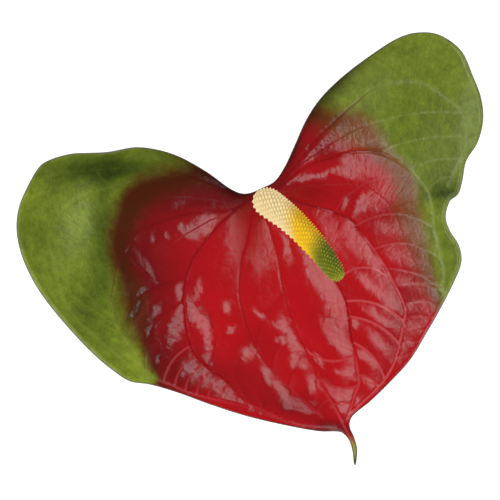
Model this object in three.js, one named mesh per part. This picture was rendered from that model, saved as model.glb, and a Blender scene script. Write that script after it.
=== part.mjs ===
// An anthurium cut flower lying face up: a heart-shaped spathe, its spadix and a short length of cut stem.
// Millimetres, +Z up. Points are measured from the junction, where the three pieces meet, with x to the
// right and y up as the face is seen from above. Heights are above the surface that the flower lies on.
import * as THREE from "three";

// Driving sizes of the spathe
const BLADE_THICKNESS = 0.8;
const STEEPEST_DROP = 1.5; // the lower face lies at most this many thicknesses straight down
const JUNCTION_HEIGHT = 27;
const EDGE_ROLL = 1.3; // how far the margin turns down
const EDGE_ROLL_WIDTH = 2.6;

// Driving sizes of the spadix
const SPADIX_FLORET_COLUMNS = 36; // a floret stands on every third crossing of a column and a row
const SPADIX_ROW_SPACING = 0.82;
const FLORET_HEIGHT = 0.42;
const FLORET_GAP_DEPTH = 0.25;
const NECK_LENGTH = 3.2; // the bare foot of the spadix, below its first florets
const NECK_FADE = 2; // the florets reach full height over this length

// Driving sizes of the stem
const STEM_RADIUS = 3.25;
const STEM_SIDES = 20;
const STEM_TOP_SWELLING = 0.9;
const STEM_SWELLING_FADE = 0.07; // share of the stem's length over which the swelling falls to a third
const STEM_RING_STEP = 3.2;
const STEM_CUT_SLOPE = 0.6;

// Meshing
const SEAT_GAP = 0.3; // left between pieces that touch
const EDGE_STEP = 2.5;
const TIP_STEP = 1.1;
const VEIN_STEP = 2.3;
const LATTICE_STEP = 2.6;
const VEIN_CLEARANCE = 0.62; // the least distance between mesh points, in steps of the vein or lattice
const LATTICE_CLEARANCE = 0.7;
const EDGE_CLEARANCE = 0.7; // the least distance from the margin, as a share of that distance
const SLOPE_REACH = 1; // the blade's slope is taken over this distance each way

// The margin of the spathe, anticlockwise from the sinus: x, y and height
const LEFT_LOBE_EDGE = [
  [-2.9, 0.5, 27], [-6.1, 0.4, 27], [-10, 2.1, 27], [-17.5, 7.5, 27.5], [-23.2, 11, 27.5], [-28.3, 13.6, 27],
  [-34.7, 15.8, 25.5], [-43.7, 17.1, 22], [-54.2, 15.5, 18], [-62.1, 15.2, 14.5], [-67.4, 15, 12],
  [-75.4, 12.9, 8], [-79.1, 10.7, 6], [-84.1, 2.6, 3], [-87.1, -4.8, 1.6], [-87.8, -12.7, 1],
  [-85.9, -21.8, 1.1], [-81, -32.2, 1.8], [-73.7, -42.3, 3.2], [-60, -57.1, 6.2], [-52.1, -63.6, 8.2],
  [-46.4, -67.1, 10],
];
const BOTTOM_EDGE = [
  [-38.9, -68.3, 11.5], [-28.1, -71.5, 12], [-17.2, -75.5, 12], [-2.9, -80, 12], [11.6, -83.4, 10.5],
  [22.5, -85.3, 9.5], [30.4, -85.8, 8.6],
];
const DRIP_TIP_EDGE = [
  [33.2, -88.6, 7.8], [34.6, -92.9, 6], [34.9, -95.4, 5], [35.3, -98, 4], [35.8, -95.5, 5], [35.9, -92, 6.3],
  [34.7, -87.6, 8.2], [33.3, -84.5, 9.7],
];
const RIGHT_EDGE = [
  [33.1, -82.2, 10.6], [34.2, -79.8, 11.2], [40.7, -74.3, 12], [47.9, -67.3, 12], [55.1, -59.3, 12],
  [60.3, -50.9, 11], [66, -41.1, 9], [70.8, -32, 6.2], [73.9, -24.1, 4.5], [73, -18.3, 6.8], [69.4, -12.8, 12],
  [67.7, -7.8, 15], [69.4, -2, 11.8], [72.6, 0.7, 8.2], [74.2, 5.3, 5],
];
const RIGHT_LOBE_EDGE = [
  [75.8, 12.8, 2.4], [79.9, 19.5, 1.3], [82, 27.8, 1], [81.2, 35.8, 1.4], [78.1, 43.7, 3.4],
  [73.5, 52.8, 7.5], [65.3, 58.2, 11], [57.6, 58.7, 15], [50.8, 56.6, 19.5], [39.8, 49.5, 26],
  [29, 41, 30], [22, 33.8, 31.5], [17.3, 26.6, 31.5], [12.9, 16.8, 30.5], [9.5, 9.6, 29.3],
  [5.9, 4.6, 28.2], [1.4, 2.3, 27.2],
];
const EDGE = [...LEFT_LOBE_EDGE, ...BOTTOM_EDGE, ...DRIP_TIP_EDGE, ...RIGHT_EDGE, ...RIGHT_LOBE_EDGE];
const DRIP_TIP_START = -86.5; // below this y the blade is the narrow drip tip

// Heights inside the margin, which set how the blade arches and cups
const INNER_HEIGHTS = [
  [0, 0, JUNCTION_HEIGHT], [8, -23, 24], [15, -50, 20], [23, -68, 16.5], [31, -80, 12.6], [-13, -38, 25],
  [1, -41, 23.5], [-35, -38, 25], [-46, -18, 24.5], [-53, -38, 19], [-39, -57, 16.5], [24, -41, 24.5],
  [42, -41, 25], [52, -41, 21], [39, -14, 25], [29, 5, 28], [46, 5, 25], [58, -16, 19], [21, 21, 33],
  [34, 30, 31.5], [47, 36, 24], [60, 40, 14.5], [44, 45, 26], [71, 33, 6.5], [51, 23, 21.5], [64, 20, 12],
  [66, 4, 11.5],
  [-39, 4, 28], [-53, 3, 24.8], [-64, -1, 18], [-77, -11, 7.6], [-57, -15, 22.2], [-64, -13, 17.2],
  [-68, -34, 11], [-77, 2, 7], [-24, 4, 29], [-72, 7, 10.5], [15, 4, 28.5],
];

// The main veins, each from the junction outwards. depths gives the furrow's depth at shares of its length.
const VEINS = {
  leftBorder: {
    depths: [[0, 0.6], [0.3, 0.4], [0.45, 0.6], [0.6, 0.8], [1, 0.9]],
    path: [
      [0, 0], [-5.4, -3.2], [-10.2, -5.6], [-17.9, -5.9], [-24.4, -6.6], [-35.2, -9.6], [-42.1, -13.1], [-46, -17.8],
      [-50, -23.9], [-52.3, -33.4], [-53.2, -39.5], [-52.2, -45.1], [-45.4, -56.4], [-41.1, -62.8], [-36.7, -66.5],
      [-31.1, -68.7], [-25, -71.5], [-13.7, -74.3], [-2.9, -76.9], [5.8, -80.5], [16.7, -83.8], [27.9, -84.6],
    ],
  },
  leftOuter: {
    depths: [[0, 0.5], [0.45, 0.6], [0.55, 1.1], [0.7, 1.1], [1, 0.8]],
    path: [
      [0, 0], [-4.7, -2.9], [-13.3, -9.9], [-19.3, -17.1], [-22.2, -20.9], [-25, -26.9], [-26.8, -37.6],
      [-26.1, -44.3], [-25.2, -51], [-23, -56.7], [-18, -62.3], [-11.5, -66.6], [-4.7, -74.3], [1.5, -77.6],
      [8.7, -81.1],
    ],
  },
  leftInner: {
    depths: [[0, 0.5], [0.5, 0.4], [0.65, 0.9], [1, 0.8]],
    path: [
      [0, 0], [-2.1, -7.2], [-4.2, -17.1], [-5.7, -21.6], [-6.5, -29.1], [-6.5, -36.7], [-4.9, -43.5],
      [-2.7, -50.4], [1.1, -58], [6.4, -64.1], [11, -68.7], [15.6, -73.3], [23.2, -80.3],
    ],
  },
  midrib: {
    depths: [[0, 0.5], [0.45, 0.6], [0.6, 1.1], [0.8, 1.1], [1, 0.8]],
    path: [
      [0, 0], [3.6, -10.7], [6, -17.8], [7.2, -23.1], [8.6, -30.7], [10.9, -40.5], [15.4, -52], [20.2, -62],
      [24.1, -70.7], [28.1, -77.3], [31.2, -83.5], [33.3, -87.9], [34.9, -93.1],
    ],
  },
  rightInner: {
    depths: [[0, 0.8], [0.4, 1.2], [0.6, 1.9], [1, 1.7]],
    path: [
      [0, 0], [11.5, -10.7], [20.5, -21.5], [28.7, -32], [31.9, -39.4], [33.1, -48.4], [34.9, -56.7],
      [35.8, -62.4], [36.5, -68.1], [35.4, -71], [34, -75.8], [32.6, -81.3],
    ],
  },
  rightOuter: {
    depths: [[0, 0.8], [0.4, 1.4], [0.6, 1.9], [1, 1.7]],
    path: [
      [0, 0], [6.1, -0.9], [11.5, -1.8], [17.5, -3.4], [26.5, -5.8], [33, -8.8], [37.7, -14], [42.1, -20.4],
      [46.4, -26.9], [50.8, -35.5], [53.1, -41.2], [51.8, -50.3], [50.6, -56.4], [48, -63.4], [43.3, -69.9],
      [37.7, -75.1], [33.7, -79.5],
    ],
  },
  rightBorder: {
    depths: [[0, 1], [1, 1]],
    path: [
      [0, 0], [3.6, 1.4], [7.4, 2.9], [15, 8.9], [24, 12.5], [33.7, 15.4], [38.4, 15.6], [43.2, 15.2], [50.1, 12.1],
      [57.2, 7.1], [61.5, 1.4], [62.8, -3.1], [64, -12.3], [67.5, -27.3], [67.1, -34.2],
    ],
  },
  rightLobe: {
    depths: [[0, 1], [1, 1]],
    path: [
      [0, 0], [4.3, 1.8], [7.5, 3.9], [10.6, 7.1], [14.7, 12.1], [21.8, 20.5], [26.7, 25.3], [31.4, 29.9],
      [35.7, 33.4], [41, 37.6], [50.6, 40.5], [60.4, 40.2], [66.4, 37], [74.1, 30.8], [76.1, 25], [75.4, 16.7],
      [72, 9.4], [69.3, 3.5],
    ],
  },
  leftLobe: {
    depths: [[0, 0.6], [1, 0.6]],
    path: [
      [0, 0], [-5.7, -0.7], [-19, 3.2], [-30.1, 6.4], [-42.3, 5.4], [-53.6, 2.7], [-60.6, 0.5], [-68.9, -4.1],
      [-74.4, -11], [-75.9, -17.9], [-73.7, -26.2], [-71.9, -33.1], [-67.9, -42.5], [-59.8, -50.5],
      [-51.5, -57.4], [-45.6, -62.4],
    ],
  },
  leftFold: {
    depths: [[0, 0.9], [1, 0.9]],
    path: [
      [0, 0], [-5.4, -0.4], [-17.5, 4.6], [-30, 8.4], [-36.1, 9.4], [-42.3, 9.9], [-48.4, 9.8], [-57, 9.1],
      [-65, 8.6], [-71.7, 7.9], [-75.5, 7.1], [-80.3, 4.5],
    ],
  },
};

// The cross veins: the vein each leaves and the share of its length there, the vein or margin it reaches and
// the share there, and its bend, as the height of its bow over its length. Margin shares run anticlockwise.
const CROSS_VEINS = [
  {
    depth: 1.1,
    rows: [
      ["leftBorder", 0.31, "leftOuter", 0.38, -0.19], ["leftOuter", 0.38, "leftBorder", 0.49, -0.19],
      ["leftOuter", 0.45, "leftBorder", 0.58, -0.16], ["leftOuter", 0.46, "leftOuter", 0.69, 0.29],
      ["rightInner", 0.44, "rightOuter", 0.55, 0.27],
      ["rightInner", 0.53, "rightOuter", 0.66, 0.13], ["rightInner", 0.59, "rightOuter", 0.73, 0.11],
      ["rightInner", 0.69, "rightOuter", 0.85, 0.12], ["rightInner", 0.82, "rightOuter", 0.88, 0.16],
      ["rightOuter", 0.32, "rightBorder", 0.79, 0.17], ["rightOuter", 0.41, "rightBorder", 0.9, 0.16],
      ["rightOuter", 0.48, "rightBorder", 0.99, 0.07], ["rightOuter", 0.24, "rightBorder", 0.61, 0.17],
    ],
  },
  {
    depth: 0.8,
    rows: [
      ["leftInner", 0.58, "leftOuter", 0.91, -0.26], ["leftInner", 0.71, "leftOuter", 0.94, -0.18],
      ["leftInner", 0.82, "leftOuter", 1, -0.14], ["midrib", 0.36, "leftInner", 0.62, -0.09],
      ["midrib", 0.49, "leftInner", 0.73, -0.13], ["midrib", 0.59, "leftInner", 0.82, -0.08],
      ["midrib", 0.68, "leftInner", 0.89, -0.01], ["midrib", 0.78, "leftInner", 0.97, -0.03],
      ["midrib", 0.46, "rightInner", 0.61, 0.02], ["midrib", 0.58, "rightInner", 0.74, -0.18],
      ["midrib", 0.7, "rightInner", 0.86, -0.13], ["midrib", 0.81, "rightInner", 0.94, 0.16],
      ["rightOuter", 0.54, "margin", 0.623, 0.1], ["rightOuter", 0.61, "margin", 0.612, 0.16],
      ["rightOuter", 0.65, "margin", 0.604, 0.1], ["rightOuter", 0.69, "margin", 0.594, 0.16],
      ["rightOuter", 0.73, "margin", 0.586, 0.1], ["rightOuter", 0.77, "margin", 0.578, 0.03],
    ],
  },
  {
    depth: 0.35,
    rows: [
      ["rightBorder", 0.17, "rightLobe", 0.77, 0.11], ["rightBorder", 0.44, "rightLobe", 0.84, 0.06],
      ["rightBorder", 0.56, "rightLobe", 0.91, 0.07], ["rightBorder", 0.66, "rightLobe", 0.97, 0.16],
      ["rightBorder", 0.82, "margin", 0.671, 0.14], ["rightBorder", 0.91, "margin", 0.654, 0],
      ["leftLobe", 0.41, "leftBorder", 0.34, -0.03], ["leftLobe", 0.48, "leftBorder", 0.38, -0.04],
      ["leftLobe", 0.55, "leftBorder", 0.42, 0.02], ["leftLobe", 0.63, "leftBorder", 0.45, -0.02],
      ["leftLobe", 0.71, "leftBorder", 0.47, -0.02], ["leftLobe", 0.79, "leftBorder", 0.5, 0.07],
      ["leftLobe", 0.86, "leftBorder", 0.52, 0.03], ["leftLobe", 0.91, "leftBorder", 0.55, 0.02],
      ["leftLobe", 0.22, "leftFold", 0.46, 0.16], ["leftLobe", 0.36, "leftFold", 0.72, 0.16],
    ],
  },
];
// The ribs of the hem run from the lower part of the left outer vein to the left border vein
const HEM_RIBS = 10;
const HEM_FROM = [0.6, 0.93];
const HEM_TO = [0.628, 0.85];
const HEM_DEPTH = 0.6;
const HEM_BOW = -0.12;
const MAIN_FURROW_WIDTH = 5; // the distance over which a main vein's furrow fades to a third
const CROSS_FURROW_WIDTH = 2.8;
const FURROW_START = 12; // furrows grow to their full depth over this distance from the junction

// The axis of the spadix: a short upright foot, then a lean of about 34 degrees above the blade
const SPADIX_AXIS = [
  [1.2, -1, 27.6], [1.5, -1.2, 30.4], [3.6, -2.8, 35], [11.7, -9.2, 43], [21.2, -19.3, 52.6], [29.3, -30.6, 62.4],
];
// Its radius at distances along that axis, under the florets
const SPADIX_PROFILE = [
  [0, 2.1], [2, 2.3], [4, 3.5], [6.5, 4.6], [10, 4.75], [20, 4.35], [30, 3.95], [38, 3.65], [46, 3.2], [50, 2.75],
  [52.6, 1.9], [54, 0.6],
];
const SPADIX_SIDE = new THREE.Vector3(1, 1, 0).normalize(); // level, and square to its lean

// The stem's centreline: down from the junction, then along the surface under the blade
const STEM_PATH = [
  [3.4, -4.6, 24.5], [3.7, -5.4, 19], [5.6, -10.9, 9.4], [9.6, -22.1, STEM_RADIUS + 0.9],
  [13.8, -34, STEM_RADIUS], [20.5, -53, STEM_RADIUS], [26.2, -69.2, STEM_RADIUS],
];

// A smooth curve through the points, closed or open
function curveThrough(points, closed = false) {
  const path = points.map(([x, y, z = 0]) => new THREE.Vector3(x, y, z));
  return new THREE.CatmullRomCurve3(path, closed, "centripetal");
}

// Points along a curve, evenly spaced at about the step
function spaced(curve, step) {
  const count = Math.max(2, Math.round(curve.getLength() / step));
  return curve.getSpacedPoints(count);
}

// The solution of a square system of linear equations
function solve(matrix, values) {
  const n = values.length;
  const rows = matrix.map((row, i) => [...row, values[i]]);
  for (let c = 0; c < n; c++) {
    let best = c;
    for (let r = c + 1; r < n; r++) if (Math.abs(rows[r][c]) > Math.abs(rows[best][c])) best = r;
    [rows[c], rows[best]] = [rows[best], rows[c]];
    for (let r = c + 1; r < n; r++) {
      const share = rows[r][c] / rows[c][c];
      for (let k = c; k <= n; k++) rows[r][k] -= share * rows[c][k];
    }
  }
  const result = new Array(n).fill(0);
  for (let r = n - 1; r >= 0; r--) {
    let rest = rows[r][n];
    for (let k = r + 1; k < n; k++) rest -= rows[r][k] * result[k];
    result[r] = rest / rows[r][r];
  }
  return result;
}

// The smoothest sheet through spots given as x, y and height: a thin plate bent to pass through them all
function sheetThrough(spots) {
  const bend = (dx, dy) => {
    const square = dx * dx + dy * dy;
    return square > 0 ? 0.5 * square * Math.log(square) : 0;
  };
  const matrix = spots.map(([x, y]) => [...spots.map(([u, v]) => bend(x - u, y - v)), 1, x, y]);
  matrix.push([...spots.map(() => 1), 0, 0, 0]);
  matrix.push([...spots.map(([x]) => x), 0, 0, 0]);
  matrix.push([...spots.map(([, y]) => y), 0, 0, 0]);
  const weights = solve(matrix, [...spots.map(([, , z]) => z), 0, 0, 0]);
  const [level, slopeX, slopeY] = weights.slice(spots.length);
  return (x, y) =>
    spots.reduce((sum, [u, v], i) => sum + weights[i] * bend(x - u, y - v), level + slopeX * x + slopeY * y);
}

// How a point lies to an evenly spaced polyline: its distance and the share of the length beside it
function nearestOn(polyline, x, y) {
  const nearest = { distance: Infinity, share: 0 };
  for (let i = 1; i < polyline.length; i++) {
    const a = polyline[i - 1];
    const b = polyline[i];
    const dx = b.x - a.x;
    const dy = b.y - a.y;
    const t = THREE.MathUtils.clamp(((x - a.x) * dx + (y - a.y) * dy) / (dx * dx + dy * dy), 0, 1);
    const distance = Math.hypot(x - a.x - t * dx, y - a.y - t * dy);
    if (distance < nearest.distance) {
      nearest.distance = distance;
      nearest.share = (i - 1 + t) / (polyline.length - 1);
    }
  }
  return nearest;
}

// The value at a share, between rows of share and value
function valueAt(rows, share) {
  const next = Math.max(1, rows.findIndex(([end]) => end >= share));
  const [from, low] = rows[next - 1];
  const [to, high] = rows[next];
  return low + ((high - low) * (share - from)) / (to - from);
}

// True if the point lies inside the closed outline
function isInside(outline, x, y) {
  let inside = false;
  outline.forEach((a, i) => {
    const b = outline[(i + 1) % outline.length];
    const crosses = a.y > y !== b.y > y && x < a.x + ((b.x - a.x) * (y - a.y)) / (b.y - a.y);
    if (crosses) inside = !inside;
  });
  return inside;
}

// The lines that shape the blade: its outline and its veins, as polylines
function bladeLines() {
  const margin = curveThrough(EDGE, true);
  const outline = [];
  EDGE.forEach(([x, y], i) => {
    const [nextX, nextY] = EDGE[(i + 1) % EDGE.length];
    const step = Math.min(y, nextY) < DRIP_TIP_START ? TIP_STEP : EDGE_STEP;
    const pieces = Math.max(1, Math.round(Math.hypot(nextX - x, nextY - y) / step));
    for (let k = 0; k < pieces; k++) outline.push(margin.getPoint((i + k / pieces) / EDGE.length));
  });
  const curves = { margin };
  for (const [name, vein] of Object.entries(VEINS)) curves[name] = curveThrough(vein.path);
  const main = Object.entries(VEINS).map(([name, vein]) => ({
    depths: vein.depths,
    line: spaced(curves[name], VEIN_STEP),
  }));
  const groups = [...CROSS_VEINS, { depth: HEM_DEPTH, rows: hemRibs() }];
  const cross = groups.flatMap(({ depth, rows }) =>
    rows.map(([from, fromShare, to, toShare, bow]) => {
      const start = curves[from].getPointAt(fromShare);
      const end = curves[to].getPointAt(toShare);
      const middle = start.clone().lerp(end, 0.5);
      middle.x -= 2 * bow * (end.y - start.y);
      middle.y += 2 * bow * (end.x - start.x);
      const line = spaced(new THREE.QuadraticBezierCurve3(start, middle, end), VEIN_STEP);
      return { depths: [[0, depth], [1, depth]], line };
    }),
  );
  return { outline, main, cross };
}

// The rows of the hem's ribs, in the form of the cross veins
function hemRibs() {
  return Array.from({ length: HEM_RIBS }, (_, i) => {
    const share = i / (HEM_RIBS - 1);
    const from = THREE.MathUtils.lerp(...HEM_FROM, share);
    const to = THREE.MathUtils.lerp(...HEM_TO, share);
    return ["leftOuter", from, "leftBorder", to, HEM_BOW];
  });
}

// How deep the furrows of a set of veins are at a point
function furrowDepth(veins, width, x, y) {
  const furrows = veins.map(({ depths, line }) => {
    const { distance, share } = nearestOn(line, x, y);
    return valueAt(depths, share) * Math.exp(-distance / width);
  });
  return Math.max(...furrows);
}

// The height of the blade's upper face as a function of x and y, with its lowest point on the surface
function bladeHeight({ outline, main, cross }) {
  const form = sheetThrough([...EDGE, ...INNER_HEIGHTS]);
  const closed = [...outline, outline[0]];
  const height = (x, y) => {
    const start = THREE.MathUtils.smoothstep(Math.hypot(x, y), 0, FURROW_START);
    const furrows = furrowDepth(main, MAIN_FURROW_WIDTH, x, y) + furrowDepth(cross, CROSS_FURROW_WIDTH, x, y);
    const roll = EDGE_ROLL * Math.exp(-nearestOn(closed, x, y).distance / EDGE_ROLL_WIDTH);
    return form(x, y) - start * (furrows + roll);
  };
  const lowest = Math.min(...outline.map((p) => height(p.x, p.y) - bladeDrop(height, p.x, p.y)));
  return (x, y) => height(x, y) - lowest;
}

// How far straight down the lower face lies, so that the blade keeps its thickness where it slopes
function bladeDrop(height, x, y) {
  const slopeX = (height(x + SLOPE_REACH, y) - height(x - SLOPE_REACH, y)) / (2 * SLOPE_REACH);
  const slopeY = (height(x, y + SLOPE_REACH) - height(x, y - SLOPE_REACH)) / (2 * SLOPE_REACH);
  return BLADE_THICKNESS * Math.min(STEEPEST_DROP, Math.hypot(1, slopeX, slopeY));
}

// Mesh points on the blade: its outline first, then the veins, then a lattice that fills what is left
function bladePoints({ outline, main, cross }) {
  const points = outline.map((p) => ({ x: p.x, y: p.y }));
  const closed = [...outline, outline[0]];
  const clear = (x, y, distance) =>
    isInside(outline, x, y) &&
    nearestOn(closed, x, y).distance > EDGE_CLEARANCE * distance &&
    points.every((q, i) => i < outline.length || Math.hypot(q.x - x, q.y - y) > distance);
  for (const { line } of [...main, ...cross]) {
    for (const p of line) {
      if (clear(p.x, p.y, VEIN_CLEARANCE * VEIN_STEP)) points.push({ x: p.x, y: p.y });
    }
  }
  const box = new THREE.Box3().setFromPoints(outline);
  const rowStep = LATTICE_STEP * Math.sin(Math.PI / 3);
  for (let row = 0; box.min.y + row * rowStep < box.max.y; row++) {
    const y = box.min.y + row * rowStep;
    const shift = row % 2 ? LATTICE_STEP / 2 : 0;
    for (let x = box.min.x + shift; x < box.max.x; x += LATTICE_STEP) {
      if (clear(x, y, LATTICE_CLEARANCE * LATTICE_STEP)) points.push({ x, y });
    }
  }
  return points;
}

// The circle through three points: its centre and squared radius
function circleThrough(a, b, c) {
  const bx = b.x - a.x;
  const by = b.y - a.y;
  const cx = c.x - a.x;
  const cy = c.y - a.y;
  const double = 2 * (bx * cy - by * cx);
  const x = (cy * (bx * bx + by * by) - by * (cx * cx + cy * cy)) / double;
  const y = (bx * (cx * cx + cy * cy) - cx * (bx * bx + by * by)) / double;
  return { x: a.x + x, y: a.y + y, square: x * x + y * y };
}

// Delaunay triangles over the points, by adding one point at a time to a triangle that holds them all
function triangulate(points) {
  const far = 1000;
  const all = [...points, { x: -far, y: -far }, { x: far, y: -far }, { x: 0, y: far }];
  const made = (corners) => ({ corners, circle: circleThrough(...corners.map((i) => all[i])) });
  let triangles = [made([points.length, points.length + 1, points.length + 2])];
  points.forEach((p, index) => {
    const rim = new Map();
    const kept = [];
    for (const triangle of triangles) {
      const { corners, circle } = triangle;
      if ((p.x - circle.x) ** 2 + (p.y - circle.y) ** 2 >= circle.square) {
        kept.push(triangle);
        continue;
      }
      corners.forEach((from, k) => {
        const to = corners[(k + 1) % 3];
        if (!rim.delete(`${to} ${from}`)) rim.set(`${from} ${to}`, [from, to]);
      });
    }
    for (const [from, to] of rim.values()) kept.push(made([from, to, index]));
    triangles = kept;
  });
  return triangles.map(({ corners }) => corners).filter((corners) => Math.max(...corners) < points.length);
}

// The spathe: the same triangles on both faces, joined by a wall along the margin
function spatheGeometry(lines, height) {
  const points = bladePoints(lines);
  const faces = triangulate(points).filter((corners) => {
    const x = corners.reduce((sum, i) => sum + points[i].x, 0) / 3;
    const y = corners.reduce((sum, i) => sum + points[i].y, 0) / 3;
    return isInside(lines.outline, x, y);
  });
  const upper = points.flatMap(({ x, y }) => [x, y, height(x, y)]);
  const lower = points.flatMap(({ x, y }) => [x, y, height(x, y) - bladeDrop(height, x, y)]);
  const below = points.length;
  const index = [];
  for (const [a, b, c] of faces) index.push(a, b, c, below + a, below + c, below + b);
  lines.outline.forEach((_, i) => {
    const next = (i + 1) % lines.outline.length;
    index.push(i, below + i, next, next, below + i, below + next);
  });
  return solidGeometry([...upper, ...lower], index);
}

// A geometry from a flat list of coordinates and triangle corners
function solidGeometry(coordinates, index) {
  const geometry = new THREE.BufferGeometry();
  geometry.setAttribute("position", new THREE.Float32BufferAttribute(coordinates, 3));
  geometry.setIndex(index);
  geometry.computeVertexNormals();
  return geometry;
}

// A solid through a row of rings that all have the same number of points, with a fan closing each end
function ringSolid(rings) {
  const sides = rings[0].length;
  const vertices = rings.flat();
  const index = [];
  for (let row = 0; row + 1 < rings.length; row++) {
    for (let side = 0; side < sides; side++) {
      const a = row * sides + side;
      const b = row * sides + ((side + 1) % sides);
      index.push(a, b, b + sides, a, b + sides, a + sides);
    }
  }
  const middleOf = (ring) =>
    ring.reduce((sum, p) => sum.add(p), new THREE.Vector3()).divideScalar(sides);
  const last = (rings.length - 1) * sides;
  const start = vertices.push(middleOf(rings[0])) - 1;
  const end = vertices.push(middleOf(rings[rings.length - 1])) - 1;
  for (let side = 0; side < sides; side++) {
    const next = (side + 1) % sides;
    index.push(start, next, side, end, last + side, last + next);
  }
  return solidGeometry(vertices.flatMap((p) => p.toArray()), index);
}

// A ring of points round a curve, square to it, its first point towards the level side vector
function ringOn(curve, share, side, radiusAt, sides, turn = 0) {
  const centre = curve.getPointAt(share);
  const along = curve.getTangentAt(share);
  const over = along.clone().cross(side).normalize();
  const across = over.clone().cross(along);
  return Array.from({ length: sides }, (_, k) => {
    const angle = turn + (2 * Math.PI * k) / sides;
    const radius = radiusAt(k);
    return centre
      .clone()
      .addScaledVector(across, radius * Math.cos(angle))
      .addScaledVector(over, radius * Math.sin(angle));
  });
}

// The spadix: rows of points round its axis, raised at the florets, on a foot that follows the blade
function spadixGeometry(height) {
  const axis = curveThrough(SPADIX_AXIS);
  const length = axis.getLength();
  const profile = curveThrough(SPADIX_PROFILE);
  const rows = Math.round(profile.getLength() / SPADIX_ROW_SPACING);
  const rings = [];
  for (let row = 0; row <= rows; row++) {
    const { x: distance, y: radius } = profile.getPointAt(row / rows);
    const share = Math.min(1, distance / length);
    const fade = THREE.MathUtils.smoothstep(distance, NECK_LENGTH, NECK_LENGTH + NECK_FADE);
    const cover = row < rows ? fade : 0;
    const radiusAt = (column) => {
      const isFloret = (column + row) % 3 === 0;
      return radius + cover * (isFloret ? FLORET_HEIGHT : -FLORET_GAP_DEPTH);
    };
    rings.push(ringOn(axis, share, SPADIX_SIDE, radiusAt, SPADIX_FLORET_COLUMNS));
  }
  for (const p of rings[0]) p.z = height(p.x, p.y) + SEAT_GAP;
  return ringSolid(rings);
}

// The stem: a smooth tube that swells under the blade, lies flat and ends in a slanting cut
function stemGeometry(height) {
  const path = curveThrough(STEM_PATH);
  const start = path.getPointAt(0);
  const end = path.getPointAt(1);
  const heading = new THREE.Vector3(end.x - start.x, end.y - start.y, 0).normalize();
  const side = new THREE.Vector3(-heading.y, heading.x, 0);
  const flatRadius = STEM_RADIUS / Math.cos(Math.PI / STEM_SIDES); // so that the flats lie at the radius
  const count = Math.round(path.getLength() / STEM_RING_STEP);
  const rings = [];
  for (let row = 0; row <= count; row++) {
    const share = row / count;
    const swelling = STEM_TOP_SWELLING * Math.exp(-share / STEM_SWELLING_FADE);
    const ring = ringOn(path, share, side, () => flatRadius + swelling, STEM_SIDES, Math.PI / STEM_SIDES);
    for (const p of ring) p.z = Math.max(p.z, 0);
    rings.push(ring);
  }
  const under = Math.min(...rings[0].map((p) => height(p.x, p.y) - bladeDrop(height, p.x, p.y)));
  for (const p of rings[0]) p.z = under - SEAT_GAP;
  for (const p of rings[count]) p.addScaledVector(heading, STEM_CUT_SLOPE * (STEM_RADIUS - p.z));
  return ringSolid(rings);
}

// A named mesh with its own plain material
function piece(name, geometry, color, roughness) {
  const material = new THREE.MeshStandardMaterial({ color, roughness, metalness: 0 });
  const mesh = new THREE.Mesh(geometry, material);
  mesh.name = name;
  return mesh;
}

const lines = bladeLines();
const height = bladeHeight(lines);
const anthurium = new THREE.Group();
anthurium.add(
  piece("spathe", spatheGeometry(lines, height), 0xa8151c, 0.3),
  piece("spadix", spadixGeometry(height), 0xe3bd2a, 0.6),
  piece("stem", stemGeometry(height), 0x6f8b3a, 0.5),
);

// The part's origin is under the middle of its box
const box = new THREE.Box3().setFromObject(anthurium);
anthurium.position.set(-(box.min.x + box.max.x) / 2, -(box.min.y + box.max.y) / 2, 0);

export default anthurium;
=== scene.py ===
"""A cut anthurium flower lying face up: its waxy spathe, its spadix of florets and its short cut stem."""
import logging
import math
from collections.abc import Iterator
from dataclasses import dataclass, field
from enum import Enum

import bmesh
import bpy
import numpy as np
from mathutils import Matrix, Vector, kdtree, noise
from mathutils.geometry import delaunay_2d_cdt


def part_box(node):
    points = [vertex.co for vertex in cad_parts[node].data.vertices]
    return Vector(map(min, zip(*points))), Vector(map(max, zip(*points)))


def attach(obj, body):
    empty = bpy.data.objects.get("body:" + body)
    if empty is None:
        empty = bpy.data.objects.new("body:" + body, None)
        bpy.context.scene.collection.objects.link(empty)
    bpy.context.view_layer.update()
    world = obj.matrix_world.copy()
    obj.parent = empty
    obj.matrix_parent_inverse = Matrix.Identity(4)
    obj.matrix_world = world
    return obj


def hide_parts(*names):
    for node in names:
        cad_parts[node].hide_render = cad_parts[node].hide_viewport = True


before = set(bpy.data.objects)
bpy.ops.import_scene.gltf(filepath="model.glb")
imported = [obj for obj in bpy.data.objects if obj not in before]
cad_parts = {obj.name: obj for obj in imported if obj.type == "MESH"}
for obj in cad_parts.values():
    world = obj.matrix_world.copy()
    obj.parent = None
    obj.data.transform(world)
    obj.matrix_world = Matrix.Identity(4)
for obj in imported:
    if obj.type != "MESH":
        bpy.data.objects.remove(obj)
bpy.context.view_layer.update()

LOG = logging.getLogger("anthurium")
MM = 0.001
BATCH = 4096  # points that are measured at once
VEIN_APART = 50.0  # added to the travel along each next vein, so that no two share their wrinkles
RIM_APART = 9.0  # the distance to the veins, in millimetres, that the round rim of the blade is given
FAR = 99.0  # a distance, in millimetres, past everything on the blade

# Points are in millimetres from the junction, where the three pieces meet: x to the right, y up, as the
# face is seen from above. Heights are above the surface that the flower lies on.
JUNCTION_HEIGHT = 27.0

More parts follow.
